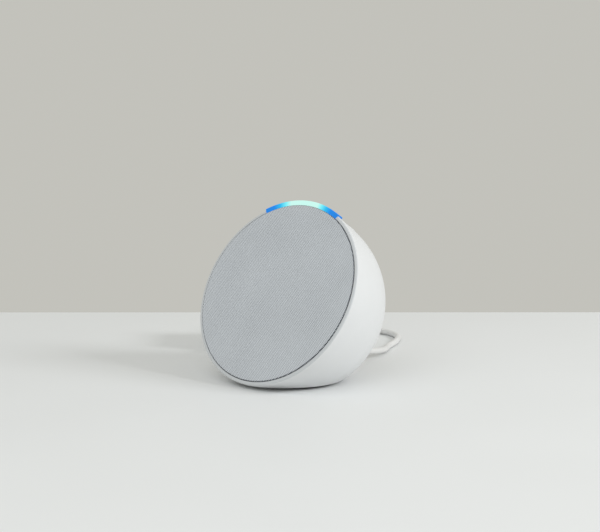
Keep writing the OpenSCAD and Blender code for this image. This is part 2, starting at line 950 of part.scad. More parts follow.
module power_wires() {
    low = floor_z + socket_board_t;
    // Height of the main board's back over these wires
    high = centre_z + (board_back + wire_y * cos(face_tilt)) / sin(face_tilt);
    color([0.1, 0.1, 0.1]) for (x = [-wire_x, wire_x]) {
        translate([x, wire_y, low]) cylinder(r = wire_r, h = high - 1.4 - low, $fn = 24);
    }
}

// --- Cord --------------------------------------------------------------------------------
// A smooth way through the points, with this many steps from each to the next
function smooth(p, steps) = concat(
    [for (i = [0 : len(p) - 2], k = [0 : steps - 1])
        let (a = p[max(i - 1, 0)], b = p[i], c = p[i + 1], d = p[min(i + 2, len(p) - 1)])
        let (t = k / steps, square_term = 2 * a - 5 * b + 4 * c - d, cube_term = 3 * b - a - 3 * c + d)
        0.5 * (2 * b + (c - a) * t + square_term * t * t + cube_term * t * t * t)],
    [p[len(p) - 1]]
);

function unit(v) = v / norm(v);

// Corners of the ring round point i of a way
function ring_at(way, i, r, sides) =
    let (along = unit(way[min(i + 1, len(way) - 1)] - way[max(i - 1, 0)]))
    let (side = unit(cross(along, [0, 0, 1])))
    let (up = cross(side, along))
    [for (k = [0 : sides - 1]) way[i] + r * (cos(360 * k / sides) * side + sin(360 * k / sides) * up)];

// A tube along a way, its radius going from start_r to end_r
module tube(way, start_r, end_r, sides) {
    last = len(way) - 1;
    rings = [for (i = [0 : last]) ring_at(way, i, start_r + (end_r - start_r) * i / last, sides)];
    corners = [for (one = rings, corner = one) corner];
    walls = [
        for (i = [0 : last - 1], k = [0 : sides - 1])
            let (a = i * sides + k, b = i * sides + (k + 1) % sides)
            [a, a + sides, b + sides, b]
    ];
    near_cap = [for (k = [0 : sides - 1]) k];
    far_cap = [for (k = [sides - 1 : -1 : 0]) last * sides + k];
    polyhedron(corners, concat([near_cap], [far_cap], walls));
}

module power_plug() {
    color([0.92, 0.92, 0.91]) translate([0, 0, socket_z]) rotate([-90, 0, 0]) {
        ring(barrel_r - 0.7, barrel_r, barrel_tip, socket_front + 1);
        ring(0, plug_r, socket_front + 0.3, plug_back);
    }
}

module plug_relief() {
    color([0.92, 0.92, 0.91]) tube(smooth(relief_path, ring_steps), plug_r - 0.7, relief_tip_r, 12);
}

module cord_lead() {
    color([0.93, 0.93, 0.92]) {
        tube(smooth(lead_path, ring_steps), cord_d / 2, cord_d / 2, cord_sides);
        tube(smooth(tail_way, ring_steps), cord_d / 2, cord_d / 2, cord_sides);
    }
}

coil_in = coil_r - coil_turns_wide * coil_step / 2;
coil_out = coil_r + coil_turns_wide * coil_step / 2;
coil_h = coil_layers * coil_step;

module cord_coil() {
    color([0.93, 0.93, 0.92]) translate([coil_at[0], coil_at[1], coil_lift]) {
        ring(coil_in, coil_out, 0, coil_h);
    }
}

module cord_tie() {
    slack = 0.7;
    wide = coil_out - coil_in + 2 * slack;
    color([0.2, 0.2, 0.21]) translate([coil_at[0], coil_at[1], 0]) rotate([0, 0, tie_angle]) {
        translate([coil_in - slack - tie_t, tie_w / 2, 0]) rotate([90, 0, 0]) linear_extrude(tie_w) {
            difference() {
                square([wide + 2 * tie_t, coil_lift + coil_h + slack + tie_t]);
                translate([tie_t, coil_lift - 0.05]) square([wide, coil_h + slack]);
            }
        }
    }
}

// --- Wall adapter ------------------------------------------------------------------------
module adapter_block(near, far, r) {
    linear_extrude(adapter_h) {
        translate([-adapter_w / 2 + r, near]) square([adapter_w - 2 * r, far - near]);
        translate([-adapter_w / 2, near]) square([adapter_w, far - near - r]);
        for (x = [-1, 1]) {
            translate([x * (adapter_w / 2 - r), far - r]) circle(r);
        }
    }
}

module adapter_case() {
    color([0.92, 0.92, 0.91]) adapter_frame() difference() {
        adapter_block(-adapter_l + adapter_cover_t, 0, adapter_corner);
        translate([-adapter_w / 2 + 2, -adapter_l, 2]) {
            cube([adapter_w - 4, adapter_l - adapter_corner, adapter_h - 4]);
        }
    }
}

module adapter_cover() {
    color([0.9, 0.9, 0.89]) adapter_frame() translate([-adapter_w / 2, -adapter_l, 0]) {
        cube([adapter_w, adapter_cover_t, adapter_h]);
    }
}

module adapter_blades() {
    color([0.75, 0.75, 0.72]) adapter_frame() for (x = [-1, 1]) {
        translate([x * blade_gap / 2, -adapter_l, adapter_h / 2]) difference() {
            translate([-blade_t / 2, -blade_l, -blade_w / 2]) cube([blade_t, blade_l, blade_w]);
            translate([-blade_t, 3 - blade_l, 0]) rotate([0, 90, 0]) cylinder(r = 1.5, h = 2 * blade_t);
        }
    }
}

module adapter_relief() {
    color([0.92, 0.92, 0.91]) adapter_frame() translate([0, 0, adapter_h / 2]) rotate([-90, 0, 0]) {
        cylinder(r1 = 3.4, r2 = relief_tip_r, h = adapter_relief_l);
    }
}

housing_shell();
rubber_foot();
base_screws();
base_cradle();
front_grille();
fabric_cover();
light_bar();
light_bar_holder();
lamp_strip();
lamps();
button_bracket();
button_circuit();
button_switches();
microphones();
microphone_seals();
volume_down_button();
microphone_button();
volume_up_button();
baffle();
baffle_screws();
chamber_cup();
chamber_screws();
driver_gasket();
driver_frame();
driver_screws();
driver_terminals();
speaker_wires();
magnet();
top_plate();
yoke();
spider();
coil_former();
voice_coil();
cone();
surround();
dust_cap();
main_board();
board_screws();
processor();
memory_chips();
shield_can();
thermal_pad();
heat_sink();
capacitors();
inductors();
board_connectors();
antennas();
button_ribbon();
power_board();
power_socket();
power_wires();
power_plug();
plug_relief();
cord_lead();
cord_coil();
cord_tie();
adapter_case();
adapter_cover();
adapter_blades();
adapter_relief();
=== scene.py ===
import math

import bpy
from bpy.props import (
    FloatProperty,
    FloatVectorProperty,
    IntProperty,
    PointerProperty,
)
from mathutils import Matrix, Vector


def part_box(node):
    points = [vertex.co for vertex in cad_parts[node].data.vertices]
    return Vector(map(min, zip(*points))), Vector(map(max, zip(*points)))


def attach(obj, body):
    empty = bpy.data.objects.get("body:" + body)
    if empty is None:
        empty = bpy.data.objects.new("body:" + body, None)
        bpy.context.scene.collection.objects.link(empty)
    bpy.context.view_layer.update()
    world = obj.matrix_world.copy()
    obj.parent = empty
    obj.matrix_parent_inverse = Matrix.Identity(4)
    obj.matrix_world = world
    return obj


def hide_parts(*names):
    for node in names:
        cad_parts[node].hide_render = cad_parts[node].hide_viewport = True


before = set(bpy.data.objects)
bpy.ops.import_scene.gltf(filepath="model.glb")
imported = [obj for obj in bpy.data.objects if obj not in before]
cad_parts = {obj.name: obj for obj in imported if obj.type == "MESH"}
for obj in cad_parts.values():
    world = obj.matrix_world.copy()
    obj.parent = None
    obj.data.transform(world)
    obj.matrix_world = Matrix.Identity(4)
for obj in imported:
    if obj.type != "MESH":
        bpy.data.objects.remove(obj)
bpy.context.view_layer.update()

bl_info = {
    "name": "Half-Round Desk Speaker",
    "version": (1, 0, 0),
    "blender": (4, 5, 0),
    "location": "View3D > Sidebar > Speaker",
    "description": "Shell, cloth face, light bar, buttons and lead of a desk speaker",
    "category": "Add Mesh",
}

MM = 0.001
SHELL_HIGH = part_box("housing_shell")[1]
FOOT_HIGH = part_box("rubber_foot")[1]
# Height of the power socket's axis, and the point where the lead leaves its plug
SOCKET_HEIGHT = 7 * MM
LEAD_EXIT = (0, 60 * MM, 5.9 * MM)
# How far the light bar stands ahead of the cloth
BAR_AHEAD = 0.1 * MM
# Points closer than this are one point.
WELD = 0.002 * MM


def length(name, description, default):
    return FloatProperty(
        name=name, description=description, default=default, unit="LENGTH", precision=5
    )


def tint(name, description, default):
    return FloatVectorProperty(
        name=name, description=description, default=default, subtype="COLOR", min=0, max=1
    )


def turn_by(name, description, degrees):
    return FloatProperty(
        name=name, description=description, default=math.radians(degrees), subtype="ANGLE"
    )


# --- Sizes and colours -------------------------------------------------------------------
class SpeakerShellSizes(bpy.types.PropertyGroup):
    """Sizes of the shell, the face and the foot"""

    round_radius: length("Round Radius", "Radius of the round rear", 48.2 * MM)
    rim_radius: length("Rim Radius", "Radius of the front rim", SHELL_HIGH.x)
    wall: length("Wall", "Thickness of the shell's wall", 2 * MM)
    lip_radius: length("Lip Radius", "Radius of the rounded lip", 1.75 * MM)
    lip_back: length("Lip Back", "How far the lip lies behind the cloth", 0.25 * MM)
    face_out: length("Face Out", "Distance from the centre to the cloth", 13.8 * MM)
    centre_height: length("Centre Height", "Height of the shell's centre", 40.8 * MM)
    face_tilt: turn_by("Face Tilt", "How far the face leans back", 27)
    foot_height: length("Foot Height", "Height of the rubber foot", FOOT_HIGH.z)
    foot_radius: length("Foot Radius", "Radius of the rubber foot", FOOT_HIGH.x)
    cloth_thickness: length("Cloth Thickness", "Thickness of the cloth", 0.8 * MM)
    cloth_gap: length("Cloth Gap", "Gap between the cloth and the rim", 0.2 * MM)


class SpeakerBarSizes(bpy.types.PropertyGroup):
    """Sizes of the light bar"""

    half_angle: turn_by("Half Angle", "Half of the angle that the bar covers", 29)
    proud: length("Proud", "How far the bar stands out of the rim", 0.7 * MM)
    width: length("Width", "Width of the bar from front to back", 4.5 * MM)
    glow: FloatProperty(name="Glow", description="Strength of the bar's light", default=1.0, min=0)


class SpeakerButtonSizes(bpy.types.PropertyGroup):
    """Sizes of the buttons on top"""

    radius: length("Radius", "Radius of a button cap", 4.6 * MM)
    gap: length("Gap", "Gap round a button cap", 0.25 * MM)
    proud: length("Proud", "How far a cap stands out of the shell", 0.25 * MM)
    back: length("Back", "How far the caps lie behind the centre", 4 * MM)
    step: turn_by("Step", "Angle between neighbouring buttons", 22)


class SpeakerCordSizes(bpy.types.PropertyGroup):
    """Sizes of the lead and its coil"""

    thickness: length("Thickness", "Diameter of the lead", 3.5 * MM)
    real_length: length("Length", "Real length of the lead", 1.5)
    coil_radius: length("Coil Radius", "Mean radius of the coil", 20 * MM)
    steps: IntProperty(name="Steps", description="Points in a turn of the coil", default=32, min=12)


class SpeakerColours(bpy.types.PropertyGroup):
    """Colours of what shows"""

    shell: tint("Shell", "Moulded shell and buttons", (0.745, 0.755, 0.765))
    # Painted shade: the lip's front faces away from the light, so it is given this greyer colour
    # instead of the shell's own.
    lip: tint("Lip", "Front of the shell's lip", (0.60, 0.62, 0.64))
    yarn: tint("Yarn", "Yarn of the cloth", (0.70, 0.735, 0.78))
    # Also the colour that the painted shadow at the cloth's rolled edge darkens towards.
    yarn_gap_and_edge_shade: tint("Yarn Gap", "Gaps between the yarns", (0.09, 0.10, 0.12))
    bar_end: tint("Bar End", "Light at the ends of the bar", (0.005, 0.23, 0.80))
    bar_side: tint("Bar Side", "Light between the ends and the middle", (0.02, 0.50, 0.86))
    bar_middle: tint("Bar Middle", "Light in the middle of the bar", (0.58, 0.93, 0.84))
    lead: tint("Lead", "Jacket of the lead", (0.74, 0.74, 0.735))
    foot: tint("Foot", "Rubber of the foot", (0.055, 0.056, 0.06))
    mark: tint("Mark", "Marks on the buttons", (0.30, 0.31, 0.32))
    floor: tint("Floor", "Surface that the speaker stands on", (0.80, 0.81, 0.815))
    backdrop: tint("Backdrop", "Light from all round", (0.545, 0.54, 0.50))


class SpeakerStageSettings(bpy.types.PropertyGroup):
    """Camera and lights"""

    azimuth: turn_by("Azimuth", "Direction of the camera round the speaker", 41.17)
    elevation: turn_by("Elevation", "Height angle of the camera", 8.93)
    distance: length("Distance", "Distance of the camera", 0.7)
    lens: FloatProperty(
        name="Lens", description="Focal length in millimetres", default=81.9, unit="CAMERA"
    )
    aside: turn_by("Aside", "How far the view turns to the right of the centre", 0.365)
    above: turn_by("Above", "How far the view rises over the centre", 1.46)
    key: FloatProperty(
        name="Key", description="Power of the main light in watts", default=9.0, unit="POWER"
    )
    fill: FloatProperty(
        name="Fill", description="Power of the fill light in watts", default=7.0, unit="POWER"
    )


# --- Frames and outlines -----------------------------------------------------------------
def moved(x=0.0, y=0.0, z=0.0):
    """A shift in millimetres."""
    return Matrix.Translation((x * MM, y * MM, z * MM))


def tipped(degrees, axis):
    """A turn about one axis."""
    return Matrix.Rotation(math.radians(degrees), 4, axis)


def mm(points):
    """Points of an outline in metres, from millimetres."""
    return [(x * MM, y * MM) for x, y in points]


def lean_of(shell):
    """Angle from straight up to the way that the face looks."""
    return math.radians(90) - shell.face_tilt


def face_place(shell):
    """Local Z points out of the face and local Y up it, from the shell's centre."""
    up = Matrix.Translation((0, 0, shell.centre_height))
    return up @ Matrix.Rotation(lean_of(shell), 4, "X")


def socket_place():
    """Local Z points out of the back, along the power socket."""
    return Matrix.Translation((0, 0, SOCKET_HEIGHT)) @ tipped(-90, "X")


def button_place(shell, buttons, angle):
    """Local Z points out through the top of the shell, where a button stands."""
    lean = math.asin(buttons.back / shell.round_radius)
    return (
        face_place(shell)
        @ Matrix.Rotation(-angle, 4, "Z")
        @ Matrix.Rotation(-math.radians(90) - lean, 4, "X")
    )


def arc(x, z, radius, first, last, steps):
    """Points on an arc, from the first angle to the last one, in degrees."""
    points = []
    for i in range(steps + 1):
        a = math.radians(first + (last - first) * i / steps)
        points.append((x + radius * math.cos(a), z + radius * math.sin(a)))
    return points


def flare_of(shell):
    """Angle of the straight flare, and the height of the rim."""
    rim_z = shell.face_out - shell.lip_back - shell.lip_radius
    far = math.hypot(shell.rim_radius, rim_z)
    flare = math.acos(shell.round_radius / far) - math.atan2(rim_z, shell.rim_radius)
    return flare, rim_z


def cloth_radius(shell):
    """Radius of the cloth's edge, a gap inside the lip."""
    return shell.rim_radius - shell.lip_radius - shell.cloth_gap


def corners(left, low, right, high):
    """Corners of a rectangle, anticlockwise."""
    return [(left, low), (right, low), (right, high), (left, high)]


def rounded(left, low, right, high, edge, steps=4):
    """Outline of a rectangle with rounded corners, anticlockwise."""
    return (
        arc(right - edge, low + edge, edge, -90, 0, steps)
        + arc(right - edge, high - edge, edge, 0, 90, steps)
        + arc(left + edge, high - edge, edge, 90, 180, steps)
        + arc(left + edge, low + edge, edge, 180, 270, steps)
    )


def ends_on_axis(outline):
    """The outline with its two ends exactly on the axis."""
    return [(0, outline[0][1]), *outline[1:-1], (0, outline[-1][1])]


# --- Modelling ---------------------------------------------------------------------------
def leave_edit():
    bpy.ops.object.mode_set(mode="OBJECT")


def let_go():
    """Leaves edit mode and deselects everything."""
    if bpy.context.object and bpy.context.object.mode != "OBJECT":
        leave_edit()
    bpy.ops.object.select_all(action="DESELECT")


def edit(kind="VERT"):
    """Goes into edit mode with everything selected."""
    bpy.ops.object.mode_set(mode="EDIT")
    bpy.ops.mesh.select_mode(type=kind)
    bpy.ops.mesh.select_all(action="SELECT")


def take(*pieces):
    """Selects only these pieces, the last one active."""
    let_go()
    for piece in pieces:
        piece.select_set(True)
        bpy.context.view_layer.objects.active = piece
    return pieces[-1]


def settle(name):
    """Names the new piece and puts its place into its mesh."""
    piece = bpy.context.object
    bpy.ops.object.transform_apply(location=True, rotation=True, scale=True)
    piece.name = name
    piece.data.name = name
    return piece


def smooth(piece, degrees=35):
    take(piece)
    bpy.ops.object.shade_smooth_by_angle(angle=math.radians(degrees))
    return piece


def chain(points):
    """Starts a mesh as a chain of edges through the points, and stays in edit mode."""
    let_go()
    bpy.ops.mesh.primitive_plane_add(size=MM)
    edit()
    bpy.ops.mesh.merge(type="CENTER")
    bpy.ops.transform.translate(value=points[0])
    for before, point in zip(points, points[1:]):
        bpy.ops.mesh.extrude_region_move(TRANSFORM_OT_translate={"value": point - before})
    bpy.ops.mesh.select_all(action="SELECT")


def close_chain(filled):
    """Joins the chain's two ends, and fills it where the turn needs end faces."""
    leave_edit()
    mesh = bpy.context.object.data
    ends = {0, len(mesh.vertices) - 1}
    for vertex in mesh.vertices:
        vertex.select = vertex.index in ends
    for edge in mesh.edges:
        edge.select = False
    bpy.ops.object.mode_set(mode="EDIT")
    # The first time this closes the chain, and the second time it fills it.
    for _ in range(2 if filled else 1):
        bpy.ops.mesh.edge_face_add()
        bpy.ops.mesh.select_all(action="SELECT")


def face_outwards():
    """Points every face outwards and leaves edit mode."""
    bpy.ops.mesh.select_all(action="SELECT")
    bpy.ops.mesh.normals_make_consistent(inside=False)
    leave_edit()


def turned(name, outline, place, steps=192, sweep=360.0, start=0.0):
    """A solid turned about the place's Z axis. The outline gives (radius, height) points. It is
    open where both of its ends lie on the axis, and closed otherwise."""
    turn = place @ tipped(start, "Z")
    chain([turn @ Vector((r, 0, z)) for r, z in outline])
    if outline[0][0] or outline[-1][0]:
        close_chain(sweep < 360)
    axis = (turn.to_3x3() @ Vector((0, 0, 1))).normalized()
    bpy.ops.mesh.spin(
        steps=steps, angle=-math.radians(sweep), center=turn.translation, axis=axis
    )
    bpy.ops.mesh.select_all(action="SELECT")
    bpy.ops.mesh.remove_doubles(threshold=WELD)
    face_outwards()
    return settle(name)


def block(name, size, place, edge=0.0, segments=3):
    """A box of this size about the place, its edges rounded."""
    let_go()
    bpy.ops.mesh.primitive_cube_add(size=1, location=place.translation, rotation=place.to_euler())
    bpy.context.object.scale = size
    piece = settle(name)
    if edge:
        edit()
        bpy.ops.mesh.bevel(offset=edge, segments=segments, affect="EDGES", profile=0.5)
        leave_edit()
    return piece


def rod(name, radius, low, high, place, sides=48):
    """A round bar along the place's Z axis, from low to high."""
    let_go()
    middle = place @ Matrix.Translation((0, 0, (low + high) / 2))
    bpy.ops.mesh.primitive_cone_add(
        vertices=sides, radius1=radius, radius2=radius, depth=high - low,
        location=middle.translation, rotation=middle.to_euler(),
    )
    return settle(name)


def work(piece, kind, **settings):
    """Gives the piece a modifier with these settings, and applies it."""
    take(piece)
    bpy.ops.object.modifier_add(type=kind)
    modifier = piece.modifiers[-1]
    for key, value in settings.items():
        setattr(modifier, key, value)
    bpy.ops.object.modifier_apply(modifier=modifier.name)
    return piece


def cut(piece, tool, how="DIFFERENCE"):
    """Takes the tool out of the piece, or adds it to the piece, and removes the tool."""
    work(piece, "BOOLEAN", operation=how, solver="EXACT", object=tool)
    bpy.data.objects.remove(tool)
    return piece


def join(name, pieces):
    take(*pieces)
    if len(pieces) > 1:
        bpy.ops.object.join()
    piece = bpy.context.object
    piece.name = name
    piece.data.name = name
    return piece


def dress(piece, finish, body="housing", replaces=()):
    """Gives the piece its finish and its body, and hides the parts that it replaces."""
    piece.data.materials.clear()
    piece.data.materials.append(finish)
    if replaces:
        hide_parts(*replaces)
    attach(piece, body)
    return piece


# --- Finishes ----------------------------------------------------------------------------
class Finish:
    """A material built up node by node on Object coordinates."""

    # Sockets of a Mix node that mixes colours
    SHARE, FIRST_COLOUR, SECOND_COLOUR, MIXED = 0, 6, 7, 2

    def __init__(self, name, rough=0.5, metal=0.0):
        self.material = bpy.data.materials.new(name)
        self.material.use_nodes = True
        self.tree = self.material.node_tree
        self.shader = self.tree.nodes["Principled BSDF"]
        self.shader.inputs["Roughness"].default_value = rough
        self.shader.inputs["Metallic"].default_value = metal
        self.where = self.add("ShaderNodeTexCoord").outputs["Object"]
        self.height = None

    def add(self, kind, **settings):
        node = self.tree.nodes.new(kind)
        for key, value in settings.items():
            setattr(node, key, value)
        return node

    def link(self, start, end):
        self.tree.links.new(start, end)

    def feed(self, socket, value):
        if isinstance(value, bpy.types.NodeSocket):
            self.link(value, socket)
        else:
            socket.default_value = value

    def placed(self, rotation=(0, 0, 0), location=(0, 0, 0), scale=(1, 1, 1)):
        node = self.add("ShaderNodeMapping")
        self.link(self.where, node.inputs["Vector"])
        node.inputs["Rotation"].default_value = rotation
        node.inputs["Location"].default_value = location
        node.inputs["Scale"].default_value = scale
        return node.outputs["Vector"]

    def parts(self, vector):
        """The X, Y and Z of a vector."""
        node = self.add("ShaderNodeSeparateXYZ")
        self.link(vector, node.inputs[0])
        return node.outputs["X"], node.outputs["Y"], node.outputs["Z"]

    def math(self, operation, a, b=0.0, c=0.0):
        node = self.add("ShaderNodeMath", operation=operation)
        for socket, value in zip(node.inputs, (a, b, c)):
            self.feed(socket, value)
        return node.outputs[0]

    def noise(self, scale, detail=3.0, vector=None):
        node = self.add("ShaderNodeTexNoise")
        self.link(vector or self.where, node.inputs["Vector"])
        node.inputs["Scale"].default_value = scale
        node.inputs["Detail"].default_value = detail
        node.inputs["Roughness"].default_value = 0.55
        return node.outputs["Fac"]

    def spread(self, value, low, high, start=0.0, end=1.0):
        """Maps the value's run from start to end onto low to high."""
        node = self.add("ShaderNodeMapRange")
        self.feed(node.inputs["Value"], value)
        for key, number in (
            ("From Min", start), ("From Max", end), ("To Min", low), ("To Max", high)
        ):
            node.inputs[key].default_value = number
        return node.outputs["Result"]

    def ramp(self, value, stops):
        node = self.add("ShaderNodeValToRGB")
        elements = node.color_ramp.elements
        while len(elements) < len(stops):
            elements.new(1.0)
        for element, (position, colour) in zip(elements, stops):
            element.position = position
            element.color = (*colour, 1.0)
        self.feed(node.inputs["Fac"], value)
        return node.outputs["Color"]

    def mottle(self, colour, amount, scale):
        """Base colour that drifts a little lighter and darker."""
        dark = [c * (1 - amount) for c in colour]
        light = [min(c * (1 + amount), 1.0) for c in colour]
        shade = self.ramp(self.noise(scale, 4.0), [(0.3, dark), (0.7, light)])
        self.link(shade, self.shader.inputs["Base Color"])
        return self

    def colour(self, value, stops):
        self.link(self.ramp(value, stops), self.shader.inputs["Base Color"])
        return self

    def blend(self, share, colour):
        """Goes over to another base colour where the share rises to 1."""
        node = self.add("ShaderNodeMix", data_type="RGBA")
        base = self.shader.inputs["Base Color"]
        self.link(share, node.inputs[self.SHARE])
        self.link(base.links[0].from_socket, node.inputs[self.FIRST_COLOUR])
        node.inputs[self.SECOND_COLOUR].default_value = (*colour, 1)
        self.link(node.outputs[self.MIXED], base)
        return self

    def polish(self, low, high, scale):
        """Roughness that drifts between two values."""
        self.link(
            self.spread(self.noise(scale), low, high, 0.3, 0.7), self.shader.inputs["Roughness"]
        )
        return self

    def bump(self, value, depth, strength=1.0):
        """Adds a bump on top of those already there."""
        node = self.add("ShaderNodeBump")
        node.inputs["Strength"].default_value = strength
        node.inputs["Distance"].default_value = depth
        self.feed(node.inputs["Height"], value)
        if self.height:
            self.link(self.height, node.inputs["Normal"])
        self.height = node.outputs["Normal"]
        self.link(self.height, self.shader.inputs["Normal"])
        return self

    def grain(self, scale, depth, strength=1.0):
        """Fine moulded or cast grain."""
        return self.bump(self.noise(scale, 2.0), depth, strength)

    def set(self, name, value):
        self.shader.inputs[name].default_value = value
        return self


def moulded(name, colour, rough=0.5, grain=1400, depth=0.02 * MM, mottle=0.012):
    """Plastic from a spark-eroded mould."""
    finish = Finish(name, rough)
    finish.mottle(colour, mottle, 55).polish(rough - 0.05, rough + 0.07, 130)
    return finish.grain(grain, depth, 0.35)


def brushed(name, colour, rough=0.32, along=(90, 2600, 90)):
    """Metal with fine lines one way and small stains."""
    finish = Finish(name, rough, 1.0)
    lines = finish.noise(1.0, 3.0, finish.placed(scale=along))
    finish.mottle(colour, 0.08, 160)
    finish.link(
        finish.spread(lines, rough - 0.1, rough + 0.14, 0.3, 0.7),
        finish.shader.inputs["Roughness"],
    )
    return finish.bump(lines, 0.01 * MM, 0.5)


def rubber(name, colour, rough=0.75):
    finish = Finish(name, rough)
    finish.mottle(colour, 0.12, 300).polish(rough - 0.08, rough + 0.1, 220)
    return finish.grain(2200, 0.03 * MM, 0.4)


def striped(name, colours, scale, axis, rough=0.5, metal=0.0, depth=0.05 * MM, place=None):
    """Windings, folds, weave or tracks that lie side by side."""
    finish = Finish(name, rough, metal)
    wave = finish.add("ShaderNodeTexWave", wave_type="BANDS", bands_direction=axis)
    wave.inputs["Scale"].default_value = scale
    finish.link(place(finish) if place else finish.where, wave.inputs["Vector"])
    finish.colour(wave.outputs["Fac"], [(0.1, colours[0]), (0.75, colours[1])])
    finish.polish(max(rough - 0.08, 0.05), rough + 0.1, 400)
    return finish.bump(wave.outputs["Fac"], depth, 0.6)


def face_vector(finish):
    """Object coordinates turned so that X and Y lie in the face and Z points out of it."""
    shell = bpy.context.scene.speaker_shell
    lean = lean_of(shell)
    back = Matrix.Rotation(-lean, 3, "X") @ Vector((0, 0, shell.centre_height))
    return finish.placed(rotation=(-lean, 0, 0), location=-back)


def cloth_finish(colours, radius):
    """Fine knitted mesh: rows of small slanting stitches with dark eyes between them."""
    finish = Finish("speaker_cloth_shaded_edge", 0.85)
    stitch_pitch = 1.15 * MM
    across, up, _ = finish.parts(face_vector(finish))
    # Threads wander a little, so that the rows aren't drawn with a ruler.
    wander = finish.spread(finish.noise(420, 2.0), -0.03 * MM, 0.03 * MM)
    x = finish.math("ADD", across, wander)
    y = finish.math("ADD", up, wander)
    rise = finish.math("MULTIPLY", finish.math("ADD", x, y), math.pi / stitch_pitch)
    fall = finish.math("MULTIPLY", finish.math("SUBTRACT", x, y), math.pi / stitch_pitch)
    one = finish.math("ABSOLUTE", finish.math("SINE", rise))
    two = finish.math("ABSOLUTE", finish.math("SINE", fall))
    stitch = finish.math("MULTIPLY", one, two)
    # Fine hairs of the yarn
    height = finish.math("MULTIPLY_ADD", finish.noise(5200, 2.0), 0.25, stitch)
    drift = finish.math("MULTIPLY_ADD", finish.noise(38, 3.0), 0.16, height)
    # Painted shadow: the yarn colour darkens towards the rolled edge, where shade falls.
    square = finish.math(
        "ADD", finish.math("MULTIPLY", across, across), finish.math("MULTIPLY", up, up)
    )
    out = finish.math("SQRT", square)
    shade = finish.spread(out, 0.0, 0.7, radius - 0.45 * MM, radius - 0.1 * MM)
    lit = finish.math("SUBTRACT", drift, shade)
    finish.colour(lit, [(0.10, colours.yarn_gap_and_edge_shade), (0.62, colours.yarn)])
    finish.bump(height, 0.16 * MM, 0.7)
    finish.set("Sheen Weight", 0.35).set("Sheen Roughness", 0.5)
    return finish.material


def bar_finish(colours, bar):
    """Milky diffuser: lit deep blue at its ends, sky blue further in, and pale in the middle."""
    finish = Finish("light_bar_glow", 0.28)
    across, up, _ = finish.parts(face_vector(finish))
    angle = finish.math("ARCTAN2", across, up)
    soft = finish.spread(finish.noise(70, 2.0), -0.03, 0.03)
    away = finish.math("ABSOLUTE", finish.math("ADD", angle, soft))
    share = finish.math("DIVIDE", away, bar.half_angle)
    light = finish.ramp(
        share,
        [
            (0.0, colours.bar_middle), (0.36, colours.bar_middle), (0.48, (0.20, 0.86, 0.92)),
            (0.62, colours.bar_side), (0.78, colours.bar_end), (1.0, (0.008, 0.20, 0.70)),
        ],
    )
    finish.set("Base Color", (0.01, 0.03, 0.04, 1)).set("Specular IOR Level", 0.2)
    finish.link(light, finish.shader.inputs["Emission Color"])
    finish.set("Emission Strength", bar.glow)
    finish.grain(900, 0.01 * MM, 0.2)
    return finish.material


def lead_finish(name, colour):
    """Soft white jacket with a faint grain, a little shinier in places."""
    finish = Finish(name, 0.42)
    finish.mottle(colour, 0.025, 90).polish(0.36, 0.52, 260)
    return finish.grain(1700, 0.02 * MM, 0.3)


# --- Camera, lights and floor ------------------------------------------------------------
def make_stage(stage, shell, colours):
    scene = bpy.context.scene
    scene.view_settings.view_transform = "Standard"
    centre = Vector((0, 0, shell.centre_height))
    around, up = stage.azimuth, stage.elevation
    back = Vector(
        (math.sin(around) * math.cos(up), -math.cos(around) * math.cos(up), math.sin(up))
    )
    let_go()
    turn = (-back).to_track_quat("-Z", "Y").to_matrix()
    aim = turn @ Matrix.Rotation(stage.above, 3, "X") @ Matrix.Rotation(-stage.aside, 3, "Y")
    bpy.ops.object.camera_add(location=centre + back * stage.distance, rotation=aim.to_euler())
    camera = bpy.context.object
    camera.name = "speaker_camera"
    camera.data.lens = stage.lens
    camera.data.sensor_width = 36
    camera.data.clip_start = 0.01
    camera.data.clip_end = 20
    scene.camera = camera

    # A broad square table, its far edge a little behind the speaker
    ahead = Vector((-math.sin(around), math.cos(around), 0))
    table_size, table_behind = 6, 0.21
    let_go()
    bpy.ops.mesh.primitive_plane_add(size=1, rotation=(0, 0, around))
    bpy.context.object.scale = (table_size, table_size, 1)
    bpy.context.object.location = ahead * (table_behind - table_size / 2)
    table = settle("table_top")
    edit()
    bpy.ops.mesh.subdivide(number_cuts=8)
    leave_edit()
    paint = Finish("table_paint", 0.55)
    paint.mottle(colours.floor, 0.012, 2.5).polish(0.5, 0.62, 9)
    paint.grain(240, 0.05 * MM, 0.25)
    table.data.materials.append(paint.material)

    world = bpy.data.worlds.new("soft_room")
    scene.world = world
    world.use_nodes = True
    sky = world.node_tree.nodes["Background"]
    sky.inputs["Color"].default_value = (*colours.backdrop, 1)
    sky.inputs["Strength"].default_value = 1.0

    # A window to the right and high up, and a broad soft fill from the near left
    right = ahead.cross(Vector((0, 0, 1)))
    for name, offset, size, power, tone in (
        ("window_light", right * 1.15 - ahead * 0.42 + Vector((0, 0, 0.72)), 0.5, stage.key,
         (0.97, 0.985, 1.0)),
        ("room_fill", right * -0.45 - ahead * 0.9 + Vector((0, 0, 1.15)), 1.4, stage.fill,
         (0.90, 0.95, 1.0)),
    ):
        let_go()
        aim = (-offset).to_track_quat("-Z", "Y").to_euler()
        bpy.ops.object.light_add(type="AREA", location=centre + offset, rotation=aim)
        light = bpy.context.object
        light.name = name
        light.data.shape = "DISK"
        light.data.size = size
        light.data.energy = power
        light.data.color = tone


# --- Lead, coil and adapter --------------------------------------------------------------
# In millimetres: out of the plug, down to the table and along it to the coil's outer turn
LEAD_WAY = (
    (0, 55, 6.6), (0, 57.5, 6.3), (0, 60, 5.9), (0, 64, 5.2), (-1, 72, 4), (-3, 80, 3),
    (-6, 88, 2.2), (-11, 97, 1.8), (-15, 108, 1.8), (-20, 118, 1.8), (-26, 126, 1.8),
    (-34, 131.4, 1.8), (-43, 133.4, 1.8), (-55, 133, 2), (-66, 131.6, 2.3),
)
